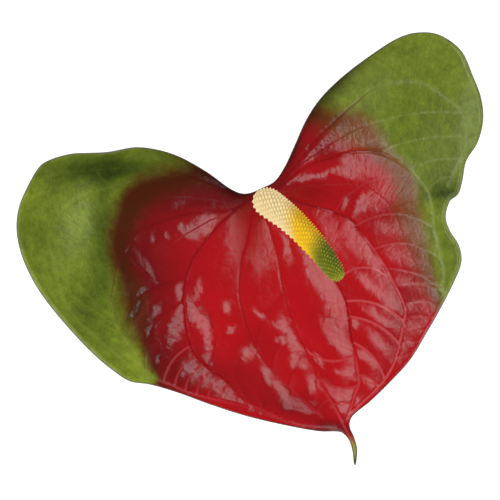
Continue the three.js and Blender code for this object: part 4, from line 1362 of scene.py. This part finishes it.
@dataclass(frozen=True)
class SpadixFinish:
    """The colours of the florets from the foot of the spadix to its tip."""

    cream: Colour = (255, 232, 176)
    yellow: Colour = (255, 208, 8)
    green: Colour = (128, 134, 20)
    tip_green: Colour = (150, 150, 28)
    point: Colour = (255, 240, 184)
    yellow_point: Colour = (255, 226, 44)
    green_point: Colour = (200, 190, 66)
    # painted shade in the gaps between the florets
    gap: Colour = (190, 150, 70)
    green_gap_shade: Colour = (52, 84, 20)
    shaded_yellow: Colour = (214, 164, 4)
    shaded_green: Colour = (92, 104, 18)
    yellow_start: tuple[float, float] = (0.33, 0.52)  # shares of the length over which yellow takes over
    green_start: tuple[float, float] = (0.62, 0.8)
    tip_start: tuple[float, float] = (0.93, 1.0)
    yellow_turn: float = 0.09  # how much sooner the colours change on the side that lies in shade
    green_turn: float = 0.035
    wander: float = 0.06
    gap_shade_strength: float = 0.4
    point_strength: float = 0.8
    roughness: float = 0.55
    gloss: float = 0.2

    def material(self, effects: TissueEffects) -> Material:
        """Cream, then yellow, then green florets, each with a paler point, and painted shade in the gaps
        between them.

        Args:
            effects: the shared node groups.

        Returns:
            The material.
        """
        material, desk, shader = new_material("spadix florets")
        wander = desk.group(effects.mottle, scale=700.0).outputs["Value"]
        along = desk.math("ADD", desk.mask("along"), desk.math("MULTIPLY", wander, self.wander))
        side = desk.mask("side")
        yellow_along = desk.math("ADD", along, desk.math("MULTIPLY", side, self.yellow_turn))
        green_along = desk.math("ADD", along, desk.math("MULTIPLY", side, self.green_turn))
        yellowness = desk.between(yellow_along, *self.yellow_start)
        greenness = desk.between(green_along, *self.green_start)
        shaded = desk.between(side, 0.1, 1.0)
        yellow = desk.mix(shaded, linear(self.yellow), linear(self.shaded_yellow))
        green = desk.mix(shaded, linear(self.green), linear(self.shaded_green))
        body = desk.mix(yellowness, linear(self.cream), yellow)
        body = desk.mix(greenness, body, green)
        body = desk.mix(desk.between(along, *self.tip_start), body, linear(self.tip_green))
        # painted shade: the gaps between the florets are darkened
        gap = desk.mix(greenness, linear(self.gap), linear(self.green_gap_shade))
        gap = desk.mix(yellowness, linear(self.gap), gap)
        colour = desk.mix(desk.math("MULTIPLY", desk.mask("gap"), self.gap_shade_strength), body, gap)
        point = desk.mix(yellowness, linear(self.point), linear(self.yellow_point))
        point = desk.mix(greenness, point, linear(self.green_point))
        lottery = desk.group(effects.mottle, scale=1100.0).outputs["Value"]
        missing = desk.math("MULTIPLY", greenness, desk.between(lottery, 0.06, -0.06))
        strength = desk.math("SUBTRACT", self.point_strength, missing)
        colour = desk.mix(desk.math("MULTIPLY", desk.mask("point"), strength, True), colour, point)
        colour = desk.group(effects.mottle, color=colour, scale=500.0, amount=0.08).outputs["Color"]
        desk.put(colour, shader.inputs["Base Color"])
        shader.inputs["Roughness"].default_value = self.roughness
        shader.inputs["Specular IOR Level"].default_value = self.gloss
        relief = desk.group(effects.relief, grain_scale=3500.0, net_scale=2500.0, grain=0.6, net=0.4)
        bump = desk.add("Bump", {"Height": relief.outputs["Height"], "Strength": 0.3, "Distance": 0.0001})
        desk.put(bump.outputs[0], shader.inputs["Normal"])
        return material


@dataclass(frozen=True)
class StemFinish:
    """The colours of the stem's skin and of its cut."""

    skin: Colour = (112, 134, 56)
    flush: Colour = (132, 84, 58)
    cut: Colour = (206, 204, 140)
    fibre: Colour = (150, 152, 84)
    roughness: float = 0.42
    cut_roughness: float = 0.7

    def material(self, effects: TissueEffects) -> Material:
        """Green skin with a red-brown flush and a pale cut with fibres.

        Args:
            effects: the shared node groups.

        Returns:
            The material.
        """
        material, desk, shader = new_material("stem skin")
        colour = desk.mix(desk.mask("flush"), linear(self.skin), linear(self.flush))
        colour = desk.group(effects.mottle, color=colour, scale=350.0, amount=0.12).outputs["Color"]
        place = desk.add("TexCoord").outputs["Object"]
        dots = desk.add("TexVoronoi", {"Vector": place, "Scale": 1400.0})
        fibres = desk.between(dots.outputs["Distance"], 0.15, 0.4)
        cut = desk.mix(fibres, linear(self.fibre), linear(self.cut))
        desk.put(desk.mix(desk.mask("cut"), colour, cut), shader.inputs["Base Color"])
        rough = desk.between(desk.mask("cut"), 0.0, 1.0, self.roughness, self.cut_roughness)
        desk.put(rough, shader.inputs["Roughness"])
        relief = desk.group(effects.relief, grain_scale=1800.0, net_scale=900.0, grain=0.5, net=0.5)
        bump = desk.add("Bump", {"Height": relief.outputs["Height"], "Strength": 0.35, "Distance": 0.0002})
        desk.put(bump.outputs[0], shader.inputs["Normal"])
        return material


@dataclass(frozen=True)
class FloorFinish:
    """The plain pale floor."""

    white: Colour = (250, 250, 250)
    grey: Colour = (165, 165, 165)
    glow: float = 1.0
    roughness: float = 0.9

    def material(self) -> Material:
        """A matt white that glows a little, so that shadows stay faint.

        Returns:
            The material.
        """
        material, _, shader = new_material("floor white")
        shader.inputs["Base Color"].default_value = linear(self.grey)
        shader.inputs["Roughness"].default_value = self.roughness
        shader.inputs["Emission Color"].default_value = linear(self.white)
        shader.inputs["Emission Strength"].default_value = self.glow
        return material


def new_material(name: str) -> tuple[Material, NodeDesk, bpy.types.Node]:
    """Starts a material.

    Args:
        name: the material's name.

    Returns:
        The material, a desk for its nodes and its Principled shader.
    """
    material = bpy.data.materials.new(name)
    material.use_nodes = True
    shader = material.node_tree.nodes["Principled BSDF"]
    return material, NodeDesk(material.node_tree), shader


@dataclass
class Spathe:
    """The heart-shaped blade with its veins, puckered cells, rolled margin and drip tip."""

    form: BladeForm
    shift: Vector
    finish: SpatheFinish = SpatheFinish()
    face_step: float = 0.58
    back_step: float = 0.95
    vein_step: float = 0.5
    edge_step: float = 0.5
    rim_bulge: float = 0.22
    rib_height: float = 0.5
    rib_width: float = 0.9
    rib_start: tuple[float, float] = (6.0, 18.0)  # the ribs rise between these distances from the junction
    vein_clearance: float = 0.62  # the least distances between mesh points, in steps of the vein or lattice
    edge_clearance: float = 0.6
    lattice_clearance: float = 0.68
    painted_shade_width: float = 2.4
    border_wander: float = 0.8
    deep_fade: tuple[float, float] = (-2.0, 23.0)  # from the brown border, where the red is deepest, inwards
    matt_lobes: float = 0.2
    wrinkle_spacing: float = 1.5
    wrinkle_length: float = 4.5
    calm_lobes: float = 0.9
    held_lobes: float = 0.8
    main_clear: tuple[float, float] = (0.2, 1.2)  # the skin's turn comes in between these distances
    cross_clear: tuple[float, float] = (0.1, 0.7)
    margin_clear: tuple[float, float] = (0.3, 2.0)
    piece: Piece | None = None

    def build(self) -> None:
        """Makes the face, the back and the round rim between them."""
        outline = self.form.margin.spaced(self.edge_step)[:-1, :2]
        face_points, face_rows, face_rim = self._cover(outline, self.face_step)
        back_points, back_rows, back_rim = self._cover(outline, self.back_step)
        face_veins = self.form.vein_map(face_points)
        back_veins = self.form.vein_map(back_points)
        face_height = self.form.height(face_points, face_veins, fine=True)
        ribs = self.rib_height * np.exp(-((back_veins.main_distance / self.rib_width) ** 2))
        back_level = self.form.height(back_points, back_veins, fine=False)
        start = smoothstep(np.hypot(*back_points.T), *self.rib_start)
        back_height = back_level - self.form.drop(back_points) - ribs * start
        back_height[back_rim] = face_height[face_rim] - self.form.drop(outline)
        face_height = np.maximum(face_height, 0)
        back_height = np.maximum(back_height, 0)
        following = np.roll(outline, -1, axis=0) - np.roll(outline, 1, axis=0)
        outward = np.stack([following[:, 1], -following[:, 0]], axis=1)
        outward /= np.linalg.norm(outward, axis=1)[:, None]
        middle_height = (face_height[face_rim] + back_height[back_rim]) / 2
        middle = np.column_stack([outline + self.rim_bulge * outward, middle_height])
        face = np.column_stack([face_points, face_height])
        back = np.column_stack([back_points, back_height])
        points = np.concatenate([face, back, middle])
        back_start = len(face_points)
        rim_start = back_start + len(back_points)
        faces = [tuple(row) for row in face_rows]
        faces += [tuple(back_start + i for i in reversed(row)) for row in back_rows]
        count = len(outline)
        for i in range(count):
            j = (i + 1) % count
            faces.append((face_rim[i], rim_start + i, rim_start + j, face_rim[j]))
            faces.append((rim_start + i, back_start + back_rim[i], back_start + back_rim[j], rim_start + j))
        self.piece = new_mesh("spathe_blade", points, faces, self.shift)
        back_faces = range(len(face_rows), len(face_rows) + len(back_rows))
        self.piece.data.polygons.foreach_set(
            "material_index", [int(i in back_faces) for i in range(len(faces))])
        self._store_masks(points, face_veins, back_veins)
        LOG.info("spathe: %d points, %d faces", len(points), len(faces))

    def _cover(self, outline: Array, step: float) -> tuple[Array, list, Array]:
        """Covers the blade's outline with triangles that follow the veins.

        Args:
            outline: the margin's points.
            step: the distance between mesh points away from the veins.

        Returns:
            The points, the triangles and the place of each outline point among the points.
        """
        vein_step = self.vein_step * step / self.face_step
        taken: dict[tuple[int, int], list] = {}
        kept = []
        gap = self.vein_clearance * vein_step
        edge_tree = kdtree.KDTree(len(self.form.closed))
        for i, (x, y) in enumerate(self.form.closed.tolist()):
            edge_tree.insert((x, y, 0), i)
        edge_tree.balance()
        for vein in self.form.veins:
            line = Path(tuple(map(tuple, vein.line[:, :2])), samples=4).spaced(vein_step)
            for x, y in line.tolist():
                cell = (int(x // gap), int(y // gap))
                near = [p for a in (-1, 0, 1) for b in (-1, 0, 1)
                        for p in taken.get((cell[0] + a, cell[1] + b), ())]
                if any((p[0] - x) ** 2 + (p[1] - y) ** 2 < gap * gap for p in near):
                    continue
                if edge_tree.find((x, y, 0))[2] < self.edge_clearance * vein_step:
                    continue
                taken.setdefault(cell, []).append((x, y))
                kept.append((x, y))
        vein_tree = kdtree.KDTree(len(kept))
        for i, (x, y) in enumerate(kept):
            vein_tree.insert((x, y, 0), i)
        vein_tree.balance()
        low, high = outline.min(0), outline.max(0)
        rows = np.arange(low[1], high[1], step * math.sin(math.pi / 3))
        columns = np.arange(low[0], high[0], step)
        lattice = [(x + (step / 2 if j % 2 else 0), y) for j, y in enumerate(rows) for x in columns]
        for x, y in lattice:
            off_veins = vein_tree.find((x, y, 0))[2] > self.lattice_clearance * step
            if off_veins and edge_tree.find((x, y, 0))[2] > self.edge_clearance * step:
                kept.append((x, y))
        corners = [Vector(p) for p in outline.tolist()] + [Vector(p) for p in kept]
        made = delaunay_2d_cdt(corners, [], [list(range(len(outline)))], 1, 1e-6)
        points = np.array([tuple(p) for p in made[0]])
        triangles = [tuple(row) for row in made[2]]
        used = sorted({i for row in triangles for i in row})
        place = {old: new for new, old in enumerate(used)}
        triangles = [tuple(place[i] for i in row) for row in triangles]
        sources = made[3]
        rim = np.zeros(len(outline), int)
        for old in used:
            for source in sources[old]:
                if source < len(outline):
                    rim[source] = place[old]
        return points[used], triangles, rim

    @staticmethod
    def _past(points: Array, border: tuple) -> tuple[Array, Array]:
        """Measures points against a colour border.

        Args:
            points: x and y of each point.
            border: the border's rows.

        Returns:
            How far each point lies past the border, and half the width of the change there.
        """
        line = Path(border, samples=8)
        got = measure(points, line.dense)
        return got.distance * got.side, line.at(got.share)[:, 2]

    def _border(self, points: Array, border: tuple) -> Array:
        """How far each point lies past a colour border, from 0 before it to 1 past it."""
        past, width = self._past(points, border)
        return smoothstep(past, -width, width)

    def _store_masks(self, points: Array, face: VeinMap, back: VeinMap) -> None:
        """Stores what the materials draw: the colour zones, the veins, the skin, the margin and the painted
        shade along it.

        Args:
            points: every vertex, those of the face and of the back first.
            face: the vein map of the face's points.
            back: the vein map of the back's points.
        """
        flat = points[:, :2]
        lobes = self._store_colours(flat)
        for name, key in (("vein", "main_distance"), ("cross", "cross_distance")):
            rim = np.full(len(points) - len(face.edge) - len(back.edge), RIM_APART)
            store(self.piece, name, np.concatenate([getattr(face, key), getattr(back, key), rim]))
        tones = [np.where(near.main_distance < near.cross_distance, near.main_tone, near.cross_tone)
                 for near in (face, back)]
        store(self.piece, "tone", np.concatenate(tones))
        self._store_skin(flat[: len(face.edge)], face, lobes[: len(face.edge)])
        edge = np.zeros(len(points))
        edge[: len(face.edge)] = face.edge
        store(self.piece, "edge", edge)
        # painted shade along parts of the margin, fading inwards from the edge
        painted_shade = np.clip(patches(flat, PAINTED_SHADE_PATCHES), 0, 1) * np.exp(-edge / self.painted_shade_width)
        store(self.piece, "painted_shade", painted_shade)

    def _store_colours(self, flat: Array) -> Array:
        """Stores the masks of the colour zones.

        Args:
            flat: x and y of each vertex.

        Returns:
            Where the blade is green, from 0 to 1.
        """
        passed = [self._border(flat, border)
                  for border in (GREEN_TO_BROWN, RIGHT_GREEN_TO_BROWN, BROWN_TO_RED, RIGHT_BROWN_TO_RED)]
        lobes = 1 - passed[0] * passed[1]
        store(self.piece, "green", lobes)
        store(self.piece, "red", passed[2] * passed[3])
        for name, pair in (("green wander", passed[:2]), ("red wander", passed[2:])):
            wander = 4 * sum(share * (1 - share) for share in pair)
            store(self.piece, name, np.clip(wander, 0, 1) * self.border_wander)
        near_brown = 1 - smoothstep(self._past(flat, BROWN_TO_RED)[0], *self.deep_fade)
        for name, start, rows in (
            ("deep red and shade", near_brown, DEEP_RED_AND_SHADE_PATCHES), ("shade", 0, DARK_GREEN_AND_SHADE_PATCHES),
            ("pale", 0, PALE_GREEN_AND_LIT_PATCHES), ("light brown", 0, LIGHT_BROWN_PATCHES),
            ("matt", self.matt_lobes * lobes, MATT_PATCHES),
        ):
            store(self.piece, name, np.clip(start + patches(flat, rows), 0, 1))
        store(self.piece, "tip", 1 - smoothstep(flat[:, 1], *DRIP_TIP_TURN))
        return lobes

    def _store_skin(self, flat: Array, face: VeinMap, lobes: Array) -> None:
        """Stores how the face's waxed skin folds, and which way it turns between the veins.

        Args:
            flat: x and y of the face's points.
            face: their vein map.
            lobes: where the face is green.
        """
        across = face.main_distance / self.wrinkle_length
        store(self.piece, "flow", np.column_stack([face.travel / self.wrinkle_spacing, across, 0 * across]))
        store(self.piece, "crinkle", self.form.crinkle(flat, face))
        calm = self.calm_lobes * lobes + patches(flat, CALM_PATCHES)
        turned, share = self.form.facets.lean(flat, calm)
        strong = np.minimum(1, 2 * np.abs(face.cross_tone))
        crossed = (1 - smoothstep(face.cross_distance, *self.cross_clear)) * strong
        clear = smoothstep(face.main_distance, *self.main_clear) * (1 - crossed)
        clear = np.maximum(clear, self.held_lobes * lobes) * smoothstep(face.edge, *self.margin_clear)
        store(self.piece, "hold", share * clear)
        store(self.piece, "lean", turned * clear[:, None])

    def dress(self, effects: TissueEffects) -> None:
        """Gives the face and the back their materials and puts the piece in the frame.

        Args:
            effects: the shared node groups.
        """
        self.piece.data.materials.append(self.finish.face(effects))
        self.piece.data.materials.append(self.finish.back_face(effects))
        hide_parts("spathe")
        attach(self.piece, "root")


@dataclass
class Tube:
    """Rings of points round a curved line, which the spadix and the stem are made of."""

    path: Path
    side: Array
    columns: int
    look: float = 0.004  # the share of the line, each way, over which its direction is taken

    def frames(self, shares: Array) -> tuple[Array, Array, Array]:
        """The centre of each ring and the two directions square to the line there.

        Args:
            shares: shares of the line's length.

        Returns:
            The centres, the directions nearest the side vector and the directions over them.
        """
        centres = self.path.at(shares)
        before, after = (self.path.at(np.clip(shares + step, 0, 1)) for step in (-self.look, self.look))
        ahead = after - before
        ahead /= np.linalg.norm(ahead, axis=1)[:, None]
        over = np.cross(ahead, self.side)
        over /= np.linalg.norm(over, axis=1)[:, None]
        return centres, np.cross(over, ahead), over

    def rings(self, shares: Array, radii: Array) -> Array:
        """The points of every ring, row by row.

        Args:
            shares: the share of each ring along the line.
            radii: the radius at each ring and column.

        Returns:
            An array of rows by columns by three.
        """
        centres, across, over = self.frames(shares)
        turn = 2 * np.pi * np.arange(self.columns) / self.columns
        spokes = across[:, None] * np.cos(turn)[:, None] + over[:, None] * np.sin(turn)[:, None]
        return centres[:, None] + spokes * radii[..., None]

    def faces(self, rows: int) -> list[tuple[int, ...]]:
        """The quads between the rings and a fan at each end.

        Args:
            rows: the number of rings.

        Returns:
            The faces; the two middle points of the fans follow the rings' points.
        """
        count = self.columns
        made = []
        for row in range(rows - 1):
            for k in range(count):
                j = (k + 1) % count
                made.append((row * count + k, row * count + j, (row + 1) * count + j, (row + 1) * count + k))
        last = (rows - 1) * count
        for k in range(count):
            j = (k + 1) % count
            made.append((rows * count, j, k))
            made.append((rows * count + 1, last + k, last + j))
        return made


@dataclass
class Spadix:
    """The leaning spike of florets, each a small pad with a point in its middle."""

    form: BladeForm
    shift: Vector
    finish: SpadixFinish = SpadixFinish()
    columns: int = 216
    row_step: float = 0.16
    pad_height: float = 0.2
    gap_depth: float = 0.16
    point_height: float = 0.5
    point_width: float = 0.24
    pad_rim: tuple[float, float] = (0.02, 0.34)
    neck_fade: float = 2.0
    end_fade: float = 1.2
    end_radius: float = 0.1
    least_radius: float = 0.05
    least_pitch_radius: float = 1.2  # thinner than this, the florets no longer draw together
    stand_off: float = 0.05
    piece: Piece | None = None

    def build(self) -> None:
        """Makes the spike, ring by ring, with the florets raised from it."""
        tube = Tube(Path(SPADIX_AXIS, rising=True), np.array([1, 1, 0]) / math.sqrt(2), self.columns)
        profile = Path(SPADIX_PROFILE)
        count = round(profile.length / self.row_step)
        shape = profile.at(np.linspace(0, 1, count + 1))
        shape[-1, 1] = self.end_radius
        shares = np.clip(shape[:, 0] / tube.path.length, 0, 1)
        rows = np.linspace(0, 1, count + 1) * profile.length / SPADIX_ROW_SPACING
        spots = np.arange(self.columns) / self.columns * SPADIX_FLORET_COLUMNS
        nearest, second = self._florets(spots, rows, shape[:, 1])
        pad = smoothstep((second - nearest) / 2, *self.pad_rim)
        point = np.exp(-((nearest / self.point_width) ** 2))
        cover = smoothstep(shape[:, 0], NECK_LENGTH, NECK_LENGTH + self.neck_fade)[:, None]
        close = smoothstep(profile.length - rows[:, None] * SPADIX_ROW_SPACING, 0, self.end_fade)
        relief = cover * close * (pad * (self.pad_height + self.gap_depth) - self.gap_depth
                                  + point * self.point_height)
        points = tube.rings(shares, np.maximum(shape[:, 1:2] + relief, self.least_radius))
        foot = points[0]
        foot[:, 2] = self.form.height(foot, self.form.vein_map(foot), fine=False) + self.stand_off
        ends = np.stack([points[0].mean(0), points[-1].mean(0)])
        vertices = np.concatenate([points.reshape(-1, 3), ends])
        self.piece = new_mesh("spadix_florets", vertices, tube.faces(count + 1), self.shift)
        along = np.repeat(shape[:, 0] / shape[-1, 0], self.columns)
        store(self.piece, "along", np.concatenate([along, [0, 1]]))
        store(self.piece, "gap", ((1 - pad) * cover).ravel())
        store(self.piece, "point", (point * cover).ravel())
        side = np.cos(2 * np.pi * np.arange(self.columns) / self.columns)
        store(self.piece, "side", np.tile(side, count + 1))
        LOG.info("spadix: %d points", len(vertices))

    def _florets(self, columns: Array, rows: Array, radii: Array) -> tuple[Array, Array]:
        """How far each point is from the nearest two floret centres.

        A floret stands on every third crossing of a column and a row.

        Args:
            columns: the place of each mesh column among the floret columns.
            rows: the place of each mesh row among the floret rows.
            radii: the radius at each mesh row.

        Returns:
            The distances to the nearest and the second nearest centre.
        """
        u, v = np.meshgrid(columns, rows)
        wide = 2 * np.pi * np.maximum(radii, self.least_pitch_radius)[:, None] / SPADIX_FLORET_COLUMNS
        j = (u + v) / 3
        i = (v - 2 * u) / 3
        near = np.full(u.shape, FAR)
        second = near.copy()
        for di in (-1, 0, 1, 2):
            for dj in (-1, 0, 1, 2):
                ci, cj = np.floor(i) + di, np.floor(j) + dj
                away = np.hypot((u - (cj - ci)) * wide, (v - (ci + 2 * cj)) * SPADIX_ROW_SPACING)
                second = np.minimum(second, np.maximum(near, away))
                near = np.minimum(near, away)
        return near, second

    def dress(self, effects: TissueEffects) -> None:
        """Gives the spike its material and puts the piece in the frame.

        Args:
            effects: the shared node groups.
        """
        self.piece.data.materials.append(self.finish.material(effects))
        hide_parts("spadix")
        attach(self.piece, "root")


@dataclass
class Stem:
    """The short length of stem under the blade, lying on the surface, with a slanting cut."""

    form: BladeForm
    shift: Vector
    finish: StemFinish = StemFinish()
    columns: int = 64
    row_step: float = 0.7
    top_swelling: float = 0.9
    swelling_fade: float = 0.07
    cut_slope: float = 0.6
    ridge: float = 0.05
    ridge_count: int = 9
    stand_off: float = 0.05
    cut_rings: tuple[float, ...] = (0.985, 0.9, 0.6, 0.3)  # the rings of the cut, as shares of its width
    flush_size: float = 5.0
    flush_stretch: float = 4.0
    flush_rise: tuple[float, float] = (-0.2, 0.6)  # the noise over which the flush comes in
    flush_strength: float = 0.6
    piece: Piece | None = None

    def build(self) -> None:
        """Makes the stem, ring by ring, with faint ridges along it."""
        path = Path(STEM_PATH, rising=True)
        heading = path.at(1.0)[:2] - path.at(0.0)[:2]
        heading /= np.linalg.norm(heading)
        tube = Tube(path, np.array([-heading[1], heading[0], 0]), self.columns)
        count = round(path.length / self.row_step)
        shares = np.linspace(0, 1, count + 1)
        turn = 2 * np.pi * np.arange(self.columns) / self.columns
        swelling = self.top_swelling * np.exp(-shares / self.swelling_fade)
        ridges = self.ridge * (np.cos(self.ridge_count * turn) - 1)
        points = tube.rings(shares, STEM_RADIUS + swelling[:, None] + ridges)
        points[..., 2] = np.maximum(points[..., 2], 0)
        top = points[0]
        under = self.form.height(top, self.form.vein_map(top), fine=False) - self.form.drop(top[:, :2])
        top[:, 2] = under - self.stand_off
        tilt = self.cut_slope * (STEM_RADIUS - points[-1][:, 2])
        points[-1][:, :2] += heading * tilt[:, None]
        cap = points[-1].copy()
        middle = cap.mean(0)
        inner = [middle + (cap - middle) * share for share in self.cut_rings]
        vertices = np.concatenate([points.reshape(-1, 3), *inner, np.stack([top.mean(0), middle])])
        rows = count + 1 + len(inner)
        self.piece = new_mesh("stem_skin", vertices, tube.faces(rows), self.shift)
        sides = (count + 1) * self.columns
        cut = np.concatenate([np.zeros(sides), np.ones(len(inner) * self.columns), [0, 1]])
        store(self.piece, "cut", cut)
        drawn = vertices / (1, self.flush_stretch, 1)
        blotches = noise_field(drawn, self.flush_size, Pattern.STEM_FLUSH)
        store(self.piece, "flush", self.flush_strength * smoothstep(blotches, *self.flush_rise))
        LOG.info("stem: %d points", len(vertices))

    def dress(self, effects: TissueEffects) -> None:
        """Gives the stem its material and puts the piece in the frame.

        Args:
            effects: the shared node groups.
        """
        self.piece.data.materials.append(self.finish.material(effects))
        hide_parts("stem")
        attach(self.piece, "root")


@dataclass(frozen=True)
class SoftBox:
    """One soft studio light, aimed at the flower."""

    name: str
    azimuth: float
    elevation: float
    distance: float
    width: float
    height: float
    radiance: float
    glossy: bool = True

    def place(self) -> None:
        """Hangs the light at its angle round the origin."""
        data = bpy.data.lights.new(self.name, "AREA")
        data.shape = "ELLIPSE"
        data.size = self.width
        data.size_y = self.height
        data.energy = self.radiance * math.pi * self.width * self.height * math.pi / 4
        lamp = bpy.data.objects.new(self.name, data)
        lamp.visible_glossy = self.glossy
        turn, rise = math.radians(self.azimuth), math.radians(self.elevation)
        lamp.location = (self.distance * math.cos(rise) * math.cos(turn),
                         self.distance * math.cos(rise) * math.sin(turn), self.distance * math.sin(rise))
        lamp.rotation_euler = (-lamp.location).to_track_quat("-Z", "Y").to_euler()
        bpy.context.scene.collection.objects.link(lamp)


@dataclass
class Studio:
    """The floor, the soft lights and the camera."""

    camera_height: float = 1.5
    lens: float = 296.0
    aim: tuple[float, float] = (-2.866, -19.706)  # what the camera looks down on, from the junction
    floor_side: float = 6.0
    floor_drop: float = 0.0002
    sky: float = 0.59
    boxes: tuple[SoftBox, ...] = (
        SoftBox("right box core", 5, 46, 0.9, 0.26, 0.26, 5.5),
        SoftBox("right box", 5, 46, 0.9, 0.42, 0.42, 1.9),
        SoftBox("right box rim", 5, 46, 0.9, 0.6, 0.6, 0.7),
        SoftBox("left box", 205, 25, 0.9, 0.42, 0.34, 1.7),
        SoftBox("left fill", 215, 40, 0.9, 0.7, 0.7, 2.3, glossy=False),
    )

    def build(self, shift: Vector) -> None:
        """Sets up the floor, the lights, the sky and the camera.

        Args:
            shift: where the junction stands.
        """
        self._floor()
        for box in self.boxes:
            box.place()
        world = bpy.data.worlds.new("studio")
        world.use_nodes = True
        backdrop = world.node_tree.nodes["Background"]
        backdrop.inputs["Color"].default_value = (1, 1, 1, 1)
        backdrop.inputs["Strength"].default_value = self.sky
        world.cycles_visibility.glossy = False
        scene = bpy.context.scene
        scene.world = world
        scene.view_settings.view_transform = "Standard"
        data = bpy.data.cameras.new("camera")
        data.lens = self.lens
        data.sensor_width = 36.0
        camera = bpy.data.objects.new("camera", data)
        camera.location = (shift.x + self.aim[0] * MM, shift.y + self.aim[1] * MM, self.camera_height)
        scene.collection.objects.link(camera)
        scene.camera = camera

    def _floor(self) -> None:
        """Lays the pale floor under the flower."""
        mesh = bpy.data.meshes.new("floor")
        sheet = bmesh.new()
        bmesh.ops.create_grid(sheet, x_segments=4, y_segments=4, size=self.floor_side / 2)
        sheet.to_mesh(mesh)
        sheet.free()
        floor = bpy.data.objects.new("floor", mesh)
        floor.location = (0, 0, -self.floor_drop)
        bpy.context.scene.collection.objects.link(floor)
        mesh.materials.append(FloorFinish().material())


def write_sizes() -> None:
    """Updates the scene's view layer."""
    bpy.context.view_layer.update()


def main() -> None:
    """Builds the flower and the studio round it."""
    logging.basicConfig(level=logging.INFO, format="%(message)s")
    form = BladeForm()
    shift = find_shift(form)
    effects = TissueEffects()
    for part in (Spathe(form, shift), Spadix(form, shift), Stem(form, shift)):
        part.build()
        part.dress(effects)
    Studio().build(shift)
    write_sizes()


if __name__ == "__main__":
    main()
